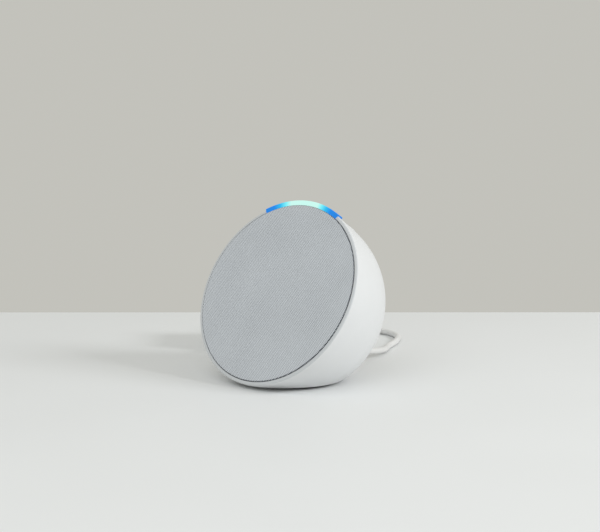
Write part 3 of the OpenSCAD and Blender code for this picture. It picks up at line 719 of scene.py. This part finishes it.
# In millimetres: from the coil's top turn, over to the adapter
TAIL_WAY = (
    (-85.2, 127.2, 13.1), (-92.5, 118.5, 12.7), (-100, 110, 12.2), (-107, 101.5, 11.9),
    (-112, 93.5, 12.4),
)
# Middle of the coil, and the height of its underside
COIL_AT = Vector((-66, 108, 0)) * MM
COIL_LOW = 0.5 * MM
# Radius and layer of each turn of the coil, in steps from the middle one and from the bottom
COIL_TURNS = (
    (1, 0), (0, 0), (-1, 0), (-1, 1), (0, 1), (1, 1), (1, 2), (0, 2), (0, 3), (1, 3), (2, 3),
)
COIL_LAYERS = 4
TURNS_ABREAST = 3
# Gap from each turn to the next, and the share of a turn in which the lead crosses it
TURN_GAP = 0.1 * MM
CROSSING = 0.14
# Turns after which the lead leaves the coil
COIL_END = 10.125
# Where the tie goes round the coil, in degrees
TIE_TURN = 250
# Middle of the adapter's end that the lead comes out of, and the way that the lead leaves it
ADAPTER_AT = Vector((-96, 68, 13)) * MM
ADAPTER_TURN = math.radians(41)
ADAPTER_OUT = Vector((-math.sin(ADAPTER_TURN), math.cos(ADAPTER_TURN), 0))
# Distance between the adapter's blades in millimetres, and the length of its strain relief
BLADE_GAP = 12.7
RELIEF = 20 * MM


def eased(points, steps):
    """A smooth way through the points, with this many steps from each to the next."""
    way = []
    last = len(points) - 1
    for i in range(last):
        a, b = points[max(i - 1, 0)], points[i]
        c, d = points[i + 1], points[min(i + 2, last)]
        for k in range(steps):
            t = k / steps
            square = 2 * a - 5 * b + 4 * c - d
            cube = 3 * b - a - 3 * c + d
            way.append(0.5 * (2 * b + (c - a) * t + square * t * t + cube * t * t * t))
    return way + [points[last]]


def coil_way(cord):
    """Turn by turn: outside in, then inside out, one layer on the other, and off at the top."""
    pitch = cord.thickness + TURN_GAP
    final = len(COIL_TURNS) - 1
    way = []
    for i in range(1, int(COIL_END * cord.steps)):
        turns = i / cord.steps
        k = min(int(turns), final)
        here, after = COIL_TURNS[k], COIL_TURNS[min(k + 1, final)]
        t = max(0.0, (turns - k - (1 - CROSSING)) / CROSSING) if k < final else 0.0
        t = t * t * (3 - 2 * t)
        radius = cord.coil_radius + pitch * (here[0] + (after[0] - here[0]) * t)
        height = COIL_LOW + pitch / 2 + pitch * (here[1] + (after[1] - here[1]) * t)
        a = math.radians(90) + 2 * math.pi * turns
        way.append(COIL_AT + Vector((radius * math.cos(a), radius * math.sin(a), height)))
    return way


def lead_way(cord):
    """From inside the plug's relief, through the coil, to inside the adapter's relief."""
    first = eased([Vector(p) * MM for p in LEAD_WAY], 3)
    into_relief = [ADAPTER_AT + ADAPTER_OUT * (RELIEF + out * MM) for out in (4, 0, -3)]
    last = eased([Vector(p) * MM for p in TAIL_WAY] + into_relief, 4)
    return first + coil_way(cord) + last


def make_lead(cord, colours):
    way = lead_way(cord)
    let_go()
    bpy.ops.curve.primitive_bezier_curve_add()
    lead = bpy.context.object
    lead.name = "power_lead"
    curve = lead.data
    curve.name = "power_lead"
    curve.splines.clear()
    spline = curve.splines.new("BEZIER")
    spline.bezier_points.add(len(way) - 1)
    for knot, point in zip(spline.bezier_points, way):
        knot.co = point
        knot.handle_left_type = knot.handle_right_type = "AUTO"
    curve.dimensions = "3D"
    curve.resolution_u = 2
    curve.bevel_depth = cord.thickness / 2
    curve.bevel_resolution = 4
    curve.use_fill_caps = True
    pieces = [*make_plug(colours), *make_adapter(colours), make_tie(cord)]
    dress(
        lead, lead_finish("lead_jacket", colours.lead).material,
        replaces=("cord_lead", "cord_coil"),
    )


def ribbed_taper(name, long, wide, thin, place, ribs):
    """A strain relief: a soft taper with ring grooves, and a small collar at each end."""
    end_edge = 0.2 * MM
    groove = 0.45 * MM
    outline = [(0, -end_edge), (wide, -end_edge)]
    start, end = 0.12 * long, 0.94 * long
    for k in range(ribs):
        for t, depth in ((0.0, 0.0), (0.55, 0.0), (0.65, 1.0), (0.9, 1.0)):
            z = start + (end - start) * (k + t) / ribs
            radius = wide + (thin - wide) * z / long
            outline.append((radius - depth * min(groove, 0.16 * radius), z))
    outline += [(thin, end), (thin, long - end_edge), (thin - end_edge, long), (0, long)]
    return turned(name, outline, place, steps=40)


def make_plug(colours):
    """The barrel plug's body with its grip, its steel barrel and its strain relief."""
    place = socket_place()
    outline = [(0, 27.3), (3.1, 27.3), (3.5, 27.7), (3.8, 28.2)]
    grip_rings, grip_start, grip_step = 7, 37, 1.2
    for k in range(grip_rings):
        z = grip_start + grip_step * k
        outline += [(3.8, z), (3.5, z + 0.2), (3.5, z + 0.6), (3.8, z + 0.8)]
    outline += [(3.8, 47.2), (3.55, 47.8), (3.1, 48), (0, 48)]
    body = turned("plug_body", mm(outline), place, steps=64)
    tube = [(1.3, 27.6), (1.3, 18.5), (1.85, 18.5), (2, 18.7), (2, 27.6)]
    barrel = turned("plug_barrel", mm(tube), place, steps=48)
    smooth(barrel)
    dress(barrel, brushed("plug_barrel_steel", (0.72, 0.72, 0.74)).material)
    # The relief bends down from the plug's end to where the lead leaves it.
    start, end = Vector((0, 47.6, 7)) * MM, Vector(LEAD_EXIT)
    aim = (end - start).to_track_quat("Z", "Y").to_matrix().to_4x4()
    relief = ribbed_taper(
        "plug_relief_taper", (end - start).length, 3.1 * MM, 2.1 * MM,
        Matrix.Translation(start) @ aim, 5,
    )
    white = moulded("plug_plastic", colours.lead, 0.45).material
    smooth(body)
    smooth(relief)
    dress(body, white, replaces=("power_plug",))
    dress(relief, white, replaces=("plug_relief",))
    return [body, relief, barrel]


def make_adapter(colours):
    """Rounded case with a stepped cover, two blades and a ribbed strain relief."""
    place = Matrix.Translation(ADAPTER_AT) @ Matrix.Rotation(ADAPTER_TURN, 4, "Z")
    white = moulded("adapter_plastic", colours.lead, 0.38, grain=1900).material
    wide, long, high = 38, 36.9, 26
    size = Vector((wide, long, high)) * MM
    case = block("adapter_body", size, place @ moved(y=-long / 2), 3.6 * MM, 6)
    slab = Vector((60, 10, 60)) * MM
    # A flat end where the cover sits, and four shallow grip grooves in each side
    cut(case, block("end", slab, place @ moved(y=-38.3)))
    for side in (-1, 1):
        for k in range(4):
            at = place @ moved(side * wide / 2, -11 - 3 * k)
            cut(case, block("groove", Vector((1, 1.3, 12)) * MM, at, 0.3 * MM, 2))
    # The cover is a little smaller all round, which leaves a fine step between the two.
    size = Vector((wide - 0.1, 6.6, high - 0.1)) * MM
    cover = block("adapter_front", size, place @ moved(y=-36.7), 2.4 * MM, 5)
    cut(cover, block("end", slab, place @ moved(y=-28.5)))
    blades = []
    for side in (-1, 1):
        at = place @ moved(side * BLADE_GAP / 2, -48)
        blade = block("blade", Vector((1.5, 16.2, 6.3)) * MM, at, 0.45 * MM, 3)
        across = at @ moved(y=-4.9) @ tipped(90, "Y")
        blades.append(cut(blade, rod("hole", 1.5 * MM, -2 * MM, 2 * MM, across, 24)))
    blades = join("adapter_prongs", blades)
    relief = ribbed_taper(
        "adapter_taper", RELIEF, 3.4 * MM, 2.1 * MM, place @ tipped(-90, "X"), 7
    )
    for piece in (case, cover, blades, relief):
        smooth(piece)
    dress(case, white, replaces=("adapter_case",))
    dress(cover, white, replaces=("adapter_cover",))
    nickel = brushed("prong_nickel", (0.74, 0.72, 0.66), 0.25).material
    dress(blades, nickel, replaces=("adapter_blades",))
    dress(relief, white, replaces=("adapter_relief",))
    return [case, cover, blades, relief]


def make_tie(cord):
    """Hook-and-loop strap round the turns of the coil."""
    pitch = cord.thickness + TURN_GAP
    high = COIL_LOW + COIL_LAYERS * pitch + 0.7 * MM
    wide = TURNS_ABREAST * pitch + 2.2 * MM
    strap_width = 7 * MM
    at = Matrix.Translation(COIL_AT) @ tipped(TIE_TURN, "Z")
    middle = Matrix.Translation((cord.coil_radius, 0, high / 2))
    strap = block("lead_tie", (wide, strap_width, high), at @ middle)
    along = at.to_3x3() @ Vector((0, 1, 0))
    edit("EDGE")
    bpy.ops.mesh.select_all(action="DESELECT")
    leave_edit()
    for edge in strap.data.edges:
        a, b = (strap.data.vertices[i].co for i in edge.vertices)
        edge.select = abs((b - a).normalized().dot(along)) > 0.9
    bpy.ops.object.mode_set(mode="EDIT")
    bpy.ops.mesh.bevel(offset=1.9 * MM, segments=6, affect="EDGES")
    # Open at both ends, so that the turns run through it
    bpy.ops.mesh.select_all(action="DESELECT")
    bpy.ops.mesh.select_mode(type="FACE")
    leave_edit()
    for face in strap.data.polygons:
        face.select = abs(face.normal.dot(along)) > 0.9
    bpy.ops.object.mode_set(mode="EDIT")
    bpy.ops.mesh.delete(type="FACE")
    face_outwards()
    work(strap, "SOLIDIFY", thickness=0.5 * MM, offset=-1)
    smooth(strap)
    weave = striped(
        "tie_weave", ((0.02, 0.02, 0.022), (0.06, 0.06, 0.065)), 500, "X", 0.9,
        depth=0.12 * MM,
        place=lambda finish: finish.placed(rotation=(0, 0, -math.radians(TIE_TURN))),
    )
    weave.grain(1600, 0.12 * MM, 0.8).set("Sheen Weight", 0.4)
    return dress(strap, weave.material, replaces=("cord_tie",))


# --- Shell and foot ----------------------------------------------------------------------
def shell_outline(shell):
    """From the rear's pole round the outside, over the lip, and back along the inside."""
    flare, rim_z = flare_of(shell)
    tilt = math.degrees(flare)
    inner = shell.round_radius - shell.wall
    recess = shell.rim_radius - shell.lip_radius
    # Inside the lip, the cloth's turned edge and the grille stand over a ledge.
    ledge = cloth_radius(shell) - 1.2 * MM
    shoulder = shell.face_out - shell.cloth_thickness - 2.1 * MM
    low = shoulder - 2.5 * MM
    flared = (inner + low * math.sin(flare)) / math.cos(flare)
    crest = rim_z + shell.lip_radius
    edge, brow = 0.3 * MM, 0.8 * MM
    return ends_on_axis(
        arc(0, 0, shell.round_radius, -90, -tilt, 56)
        + arc(shell.rim_radius - brow, crest - 0.15 * MM - brow, brow, 0, 80, 8)
        + arc(recess + edge, crest - edge, edge, 110, 180, 4)
        + [(recess, shoulder), (ledge, shoulder), (ledge, low), (flared, low)]
        + arc(0, 0, inner, -tilt, -90, 40)
    )


def drill(body, radius, top, sink, mouth, rise, at, steps):
    """Drills a round hole in through the shell, with a chamfer at its mouth."""
    start = 40 * MM
    line = [(0, start), (radius, start), (radius, top - sink), (mouth, top + rise), (0, top + rise)]
    cut(body, turned("hole", line, at, steps))


def make_shell(shell, bar, buttons, colours):
    place = face_place(shell)
    body = turned("speaker_shell", shell_outline(shell), place, steps=224)

    # A flat floor, cut off level with the foot's top, and the power socket's hole
    floor_radius = 27.4 * MM
    floor_top = shell.foot_height + shell.wall
    floor = rod("floor", floor_radius, -2 * MM, floor_top, Matrix.Identity(4), 128)
    cut(body, floor, "UNION")
    under_high = 0.05
    under = Matrix.Translation((0, 0, shell.foot_height - under_high / 2))
    cut(body, block("under", (0.2, 0.2, under_high), under))
    cut(body, rod("port", 4.3 * MM, 26 * MM, 70 * MM, socket_place(), 64))
    # Notch for the light bar, with a slot behind it for the bar's guide, and a gap all round
    half = math.degrees(bar.half_angle) + 0.25
    back = shell.face_out + BAR_AHEAD - bar.width - 0.15 * MM
    for low, high, front in ((47.5, 52, 17), (44.6, 47.9, 11.8)):
        line = corners(low * MM, back, high * MM, front * MM)
        cut(body, turned("notch", line, place, 64, 2 * half, 90 - half))
    # Button holes, and two microphone holes between them
    for k in (-1, 0, 1):
        at = button_place(shell, buttons, k * buttons.step)
        hole = buttons.radius + buttons.gap
        top = shell.round_radius - hole * hole / (2 * shell.round_radius)
        drill(body, hole, top, 0.18 * MM, hole + 0.9 * MM, 0.75 * MM, at, 72)
    for k in (-0.5, 0.5):
        at = button_place(shell, buttons, k * buttons.step)
        drill(body, 0.6 * MM, shell.round_radius, 0.15 * MM, 1.05 * MM, 0.3 * MM, at, 32)
    # Stepped screw holes in the floor
    screw_hole = mm([(0, 0), (2.5, 0), (2.5, 2.4), (1.3, 2.4), (1.3, 5), (0, 5)])
    for x, y in ((-10, -7), (10, -7), (-10, 2), (10, 2)):
        cut(body, turned("hole", screw_hole, moved(x, y), 32))
    smooth(body, 30)
    finish = moulded("shell_plastic_shaded_lip", colours.shell, 0.46, 1500, 0.02 * MM, 0.01)
    # Painted shade: the lip's front faces away from the light, so its colour blends over to the
    # greyer lip colour.
    _, _, ahead = finish.parts(face_vector(finish))
    crest = flare_of(shell)[1] + shell.lip_radius
    share = finish.spread(ahead, 0.0, 1.0, crest - 0.9 * MM, crest - 0.4 * MM)
    finish.blend(share, colours.lip)
    dress(body, finish.material, replaces=("housing_shell",))


def make_foot(shell, colours):
    edge = 0.5 * MM
    radius, height = shell.foot_radius, shell.foot_height
    outline = [(0, 0)]
    # Three shallow grip rings under the foot
    for k in range(3):
        ring = 9 + 5.2 * k
        outline += mm([(ring, 0), (ring + 0.2, 0.3), (ring + 0.9, 0.3), (ring + 1.1, 0)])
    outline += arc(radius - edge, edge, edge, -90, 0, 5)
    outline += [(radius, height), (0, height)]
    foot = turned("grip_foot", outline, Matrix.Identity(4), 128)
    smooth(foot)
    grip = rubber("foot_rubber", colours.foot).material
    dress(foot, grip, replaces=("rubber_foot",))


# --- Cloth face --------------------------------------------------------------------------
def make_cloth(shell, colours):
    place = face_place(shell)
    radius = cloth_radius(shell)
    out, thick = shell.face_out, shell.cloth_thickness
    edge = 0.4 * MM
    turned_in = 2 * MM
    low = out - thick - turned_in
    hem = radius - 0.7 * MM
    # Rings across the flat give the cloth an even mesh.
    rings, flat_share = 24, 0.985
    flat = [(radius * k / rings * flat_share, out) for k in range(rings + 1)]
    outline = (
        flat
        + arc(radius - edge, out - edge, edge, 90, 0, 6)
        + [(radius, low), (hem, low), (hem, out - thick), (0, out - thick)]
    )
    cloth = turned("cloth_face", outline, place, 192)
    smooth(cloth, 40)
    dress(cloth, cloth_finish(colours, radius), replaces=("fabric_cover",))


# --- Light bar ---------------------------------------------------------------------------
def make_bar(shell, bar, colours):
    place = face_place(shell)
    low = cloth_radius(shell) + 0.1 * MM
    high = shell.rim_radius + bar.proud
    front = shell.face_out + BAR_AHEAD
    back = front - bar.width
    half = math.degrees(bar.half_angle)
    outline = rounded(low, back, high, front, 0.6 * MM, 5)
    diffuser = turned("light_bar_diffuser", outline, place, 96, 2 * half, 90 - half)
    guide_line = corners(44.7 * MM, back, low + 0.6 * MM, back + 1.4 * MM)
    guide = turned("guide", guide_line, place, 96, 2 * half, 90 - half)
    cut(diffuser, guide, "UNION")
    smooth(diffuser, 30)
    dress(diffuser, bar_finish(colours, bar), replaces=("light_bar",))


# --- Buttons -----------------------------------------------------------------------------
def plate(name, points, place):
    """A flat piece between the points, ready to be laid on a cap."""
    chain([place @ Vector((x * MM, y * MM, 0)) for x, y in points])
    bpy.ops.mesh.edge_face_add()
    face_outwards()
    return settle(name)


def bar_mark(turn, long, wide, at=(0, 0)):
    """A straight stroke of this length and width, in millimetres."""
    c, s = math.cos(math.radians(turn)), math.sin(math.radians(turn))
    return [
        (at[0] + c * x - s * y, at[1] + s * x + c * y)
        for x, y in corners(-long / 2, -wide / 2, long / 2, wide / 2)
    ]


def mark_shapes(kind):
    """Outlines of a mark: minus, plus, or a microphone with a stroke through it."""
    level = bar_mark(0, 3.4, 0.5)
    if kind == "minus":
        return [level]
    if kind == "plus":
        return [level, bar_mark(90, 3.4, 0.5)]
    capsule = arc(0, 0.75, 0.55, 0, 180, 8) + arc(0, -0.15, 0.55, 180, 360, 8)
    cradle = arc(0, -0.1, 1.15, 180, 360, 12) + arc(0, -0.1, 0.9, 360, 180, 12)
    stem = bar_mark(90, 0.9, 0.25, (0, -1.5))
    base = bar_mark(0, 1.5, 0.25, (0, -1.75))
    return [capsule, cradle, stem, base, bar_mark(-48, 4.6, 0.3)]


def cap_outline(shell, buttons):
    """Stem and flange under the shell, and a crown that dips a little for the finger."""
    radius = buttons.radius
    crown = shell.round_radius + buttons.proud
    inner = shell.round_radius - shell.wall
    flange = radius + 1 * MM
    top = math.sqrt(inner * inner - flange * flange) - 0.36 * MM
    low = top - 1.2 * MM
    stem, stem_low = 1.5 * MM, low - 1 * MM
    edge, soften = 0.3 * MM, 0.09 * MM
    side = math.sqrt(crown * crown - radius * radius)
    outline = [
        (0, stem_low), (stem, stem_low), (stem, low), (flange, low), (flange, top),
        (radius, top), (radius, side - edge), (radius - soften, side - soften),
    ]
    rings = 10
    for k in range(rings + 1):
        r = (radius - edge) * (1 - k / rings)
        dip = 0.16 * MM * max(0.0, 1 - (r / (0.8 * radius)) ** 2)
        outline.append((r, math.sqrt(crown * crown - r * r) - dip))
    return ends_on_axis(outline)


def make_button(name, node, body, shell, buttons, colours, step, mark, finish):
    """A round cap with a flange and a stem, and its mark on top."""
    place = button_place(shell, buttons, step * buttons.step)
    cap = turned(name, cap_outline(shell, buttons), place, 80)
    smooth(cap)
    dress(cap, finish, body, (node,))
    above = Matrix.Translation((0, 0, shell.round_radius + buttons.proud + 0.5 * MM))
    marks = []
    for i, shape in enumerate(mark_shapes(mark)):
        piece = plate("mark", shape, place @ above @ tipped(180, "Z"))
        # Strokes that cross lie a hair's breadth apart.
        work(
            piece, "SHRINKWRAP", target=cap, wrap_method="NEAREST_SURFACEPOINT",
            offset=(0.035 + 0.004 * i) * MM,
        )
        marks.append(work(piece, "SOLIDIFY", thickness=0.05 * MM, offset=0))
    marks = join(name + "_mark", marks)
    ink = moulded("button_mark_ink", colours.mark, 0.5, 2600, 0.01 * MM, 0.05)
    dress(marks, ink.material, body)


# --- Parts inside ------------------------------------------------------------------------
def board_finish(name, leaning=True):
    """Green board: fine copper tracks under the mask, and round gilt pads."""
    finish = Finish(name, 0.34)
    lay = face_vector(finish) if leaning else finish.where
    cells = finish.add("ShaderNodeTexVoronoi", feature="DISTANCE_TO_EDGE", distance="CHEBYCHEV")
    finish.link(lay, cells.inputs["Vector"])
    cells.inputs["Scale"].default_value = 520
    tracks = finish.math("LESS_THAN", cells.outputs["Distance"], 0.09)
    dots = finish.add("ShaderNodeTexVoronoi", feature="F1")
    finish.link(lay, dots.inputs["Vector"])
    dots.inputs["Scale"].default_value = 330
    pads = finish.math("LESS_THAN", dots.outputs["Distance"], 0.2)
    level = finish.math("MULTIPLY_ADD", pads, 0.5, finish.math("MULTIPLY", tracks, 0.4))
    drift = finish.math("MULTIPLY_ADD", finish.noise(240), 0.08, level)
    finish.colour(
        drift,
        [(0.04, (0.012, 0.10, 0.045)), (0.36, (0.02, 0.17, 0.075)), (0.5, (0.03, 0.24, 0.10)),
         (0.62, (0.62, 0.55, 0.30))],
    )
    return finish.bump(level, 0.03 * MM, 0.5).set("Coat Weight", 0.3).material


def magnet_finish():
    finish = Finish("magnet_ferrite", 0.62)
    finish.mottle((0.035, 0.035, 0.038), 0.3, 420).polish(0.5, 0.8, 300)
    return finish.grain(900, 0.08 * MM, 0.7).material


def paper_finish():
    """Pressed cone: fibres and faint rings."""
    finish = Finish("cone_pulp", 0.7)
    fibres = finish.noise(900, 5.0, finish.placed(scale=(1, 1, 3)))
    finish.colour(fibres, [(0.25, (0.012, 0.012, 0.014)), (0.8, (0.05, 0.05, 0.056))])
    rings = finish.add("ShaderNodeTexWave", wave_type="RINGS", rings_direction="Z")
    finish.link(face_vector(finish), rings.inputs["Vector"])
    rings.inputs["Scale"].default_value = 260
    return finish.bump(rings.outputs["Fac"], 0.04 * MM, 0.5).bump(fibres, 0.03 * MM, 0.6).material


def chip_finish():
    finish = Finish("chip_resin", 0.55)
    finish.mottle((0.018, 0.018, 0.019), 0.25, 500).polish(0.45, 0.65, 700)
    return finish.grain(2600, 0.02 * MM, 0.6).material


def layered(name, dark, light, scale, axis, rough, depth, metal=0.0):
    """Windings, cloth or film that follow the lean of the face."""
    return striped(
        name, (dark, light), scale, axis, rough, metal, depth, place=face_vector
    ).material


def finish_inner_parts():
    """Finishes for the parts inside, which keep their own shapes."""
    black = moulded("black_moulding", (0.022, 0.022, 0.024), 0.55, 1300, 0.03 * MM, 0.15).material
    steel = brushed("zinc_plate", (0.62, 0.62, 0.64), 0.3).material
    dark_screw = brushed("blackened_screw", (0.10, 0.10, 0.105), 0.4, (900, 900, 60)).material
    gold = brushed("gilt_plate", (0.80, 0.58, 0.22), 0.24, (500, 500, 500)).material
    black_rubber = rubber("seal_rubber", (0.014, 0.014, 0.015), 0.82).material
    copper = layered(
        "coil_winding", (0.30, 0.11, 0.04), (0.78, 0.36, 0.14), 1400, "Z", 0.3, 0.06 * MM, 1.0
    )
    spider = layered(
        "spider_cloth", (0.36, 0.24, 0.09), (0.62, 0.46, 0.22), 1500, "DIAGONAL", 0.85, 0.08 * MM
    )
    ribbon = layered(
        "ribbon_film", (0.50, 0.27, 0.06), (0.80, 0.52, 0.18), 420, "X", 0.3, 0.03 * MM
    )
    sleeve = layered(
        "capacitor_sleeve", (0.01, 0.012, 0.05), (0.03, 0.04, 0.12), 120, "X", 0.3, 0.01 * MM
    )
    sink = brushed("cast_aluminium", (0.60, 0.61, 0.63), 0.42, (60, 60, 1200)).material
    lens = moulded("lamp_lens", (0.85, 0.83, 0.62), 0.2, 2200, 0.01 * MM, 0.06).material
    paint = moulded("driver_paint", (0.05, 0.05, 0.055), 0.38, 700, 0.05 * MM, 0.1).material
    finishes = {
        black: "base_cradle front_grille light_bar_holder button_bracket baffle chamber_cup",
        dark_screw: "base_screws baffle_screws chamber_screws driver_screws board_screws",
        steel: "button_switches shield_can top_plate yoke",
        gold: "microphones driver_terminals coil_former antennas",
        black_rubber: "microphone_seals driver_gasket surround power_wires",
        board_finish("main_board_mask"): "lamp_strip button_circuit main_board",
        board_finish("power_board_mask", leaning=False): "power_board",
        chip_finish(): "processor memory_chips inductors power_socket",
        lens: "lamps",
        paint: "driver_frame",
        rubber("red_wire_jacket", (0.45, 0.02, 0.02), 0.5).material: "speaker_wires",
        magnet_finish(): "magnet",
        spider: "spider",
        copper: "voice_coil",
        paper_finish(): "cone dust_cap",
        rubber("gap_pad", (0.28, 0.35, 0.52), 0.7).material: "thermal_pad",
        sink: "heat_sink",
        sleeve: "capacitors",
        moulded("ivory_connector", (0.72, 0.68, 0.55), 0.45).material: "board_connectors",
        ribbon: "button_ribbon",
    }
    for material, names in finishes.items():
        for name in names.split():
            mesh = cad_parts[name].data
            mesh.materials.clear()
            mesh.materials.append(material)


# --- Operators ---------------------------------------------------------------------------
class SPEAKER_OT_stage(bpy.types.Operator):
    """Set up the camera, the lights and the surface that the speaker stands on"""

    bl_idname = "speaker.stage"
    bl_label = "Set Stage"

    def execute(self, context):
        scene = context.scene
        make_stage(scene.speaker_stage, scene.speaker_shell, scene.speaker_colours)
        return {"FINISHED"}


class SPEAKER_OT_lead(bpy.types.Operator):
    """Lay the lead from its plug to its coil, tie and wall adapter"""

    bl_idname = "speaker.lead"
    bl_label = "Lay Lead"

    def execute(self, context):
        make_lead(context.scene.speaker_cord, context.scene.speaker_colours)
        return {"FINISHED"}


class SPEAKER_OT_shell(bpy.types.Operator):
    """Turn the shell and cut its openings, and add the rubber foot"""

    bl_idname = "speaker.shell"
    bl_label = "Make Shell"

    def execute(self, context):
        scene = context.scene
        make_shell(
            scene.speaker_shell, scene.speaker_bar, scene.speaker_buttons, scene.speaker_colours
        )
        make_foot(scene.speaker_shell, scene.speaker_colours)
        return {"FINISHED"}


class SPEAKER_OT_cloth(bpy.types.Operator):
    """Stretch the knitted cloth over the face"""

    bl_idname = "speaker.cloth"
    bl_label = "Stretch Cloth"

    def execute(self, context):
        make_cloth(context.scene.speaker_shell, context.scene.speaker_colours)
        return {"FINISHED"}


class SPEAKER_OT_light_bar(bpy.types.Operator):
    """Make the glowing bar at the top of the rim"""

    bl_idname = "speaker.light_bar"
    bl_label = "Make Light Bar"

    def execute(self, context):
        scene = context.scene
        make_bar(scene.speaker_shell, scene.speaker_bar, scene.speaker_colours)
        return {"FINISHED"}


class SPEAKER_OT_buttons(bpy.types.Operator):
    """Make the three buttons on top with their marks"""

    bl_idname = "speaker.buttons"
    bl_label = "Make Buttons"

    def execute(self, context):
        scene = context.scene
        finish = moulded("button_plastic", scene.speaker_colours.shell, 0.42, 1800).material
        for name, node, body, step, mark in (
            ("quieter_cap", "volume_down_button", "volume_down", -1, "minus"),
            ("mute_cap", "microphone_button", "microphone_off", 0, "microphone"),
            ("louder_cap", "volume_up_button", "volume_up", 1, "plus"),
        ):
            make_button(
                name, node, body, scene.speaker_shell, scene.speaker_buttons,
                scene.speaker_colours, step, mark, finish,
            )
        return {"FINISHED"}


class SPEAKER_OT_inner_parts(bpy.types.Operator):
    """Finish the parts inside: driver, chamber, boards and screws"""

    bl_idname = "speaker.inner_parts"
    bl_label = "Finish Inner Parts"

    def execute(self, context):
        finish_inner_parts()
        return {"FINISHED"}


class SPEAKER_PT_panel(bpy.types.Panel):
    """Sizes, colours and steps of the speaker"""

    bl_idname = "SPEAKER_PT_panel"
    bl_label = "Desk Speaker"
    bl_space_type = "VIEW_3D"
    bl_region_type = "UI"
    bl_category = "Speaker"

    def draw(self, context):
        for operator in OPERATORS:
            self.layout.operator(operator.bl_idname)
        for name, group in GROUPS.items():
            box = self.layout.box()
            for key in group.__annotations__:
                box.prop(getattr(context.scene, name), key)


GROUPS = {
    "speaker_shell": SpeakerShellSizes,
    "speaker_bar": SpeakerBarSizes,
    "speaker_buttons": SpeakerButtonSizes,
    "speaker_cord": SpeakerCordSizes,
    "speaker_colours": SpeakerColours,
    "speaker_stage": SpeakerStageSettings,
}
OPERATORS = (
    SPEAKER_OT_stage,
    SPEAKER_OT_lead,
    SPEAKER_OT_shell,
    SPEAKER_OT_cloth,
    SPEAKER_OT_light_bar,
    SPEAKER_OT_buttons,
    SPEAKER_OT_inner_parts,
)


def register():
    for name, group in GROUPS.items():
        bpy.utils.register_class(group)
        setattr(bpy.types.Scene, name, PointerProperty(type=group))
    for kind in (*OPERATORS, SPEAKER_PT_panel):
        bpy.utils.register_class(kind)


def unregister():
    for kind in (SPEAKER_PT_panel, *reversed(OPERATORS)):
        bpy.utils.unregister_class(kind)
    for name, group in GROUPS.items():
        delattr(bpy.types.Scene, name)
        bpy.utils.unregister_class(group)


def main():
    register()
    bpy.ops.speaker.stage()
    bpy.ops.speaker.lead()
    bpy.ops.speaker.shell()
    bpy.ops.speaker.cloth()
    bpy.ops.speaker.light_bar()
    bpy.ops.speaker.buttons()
    bpy.ops.speaker.inner_parts()


if __name__ == "__main__":
    main()
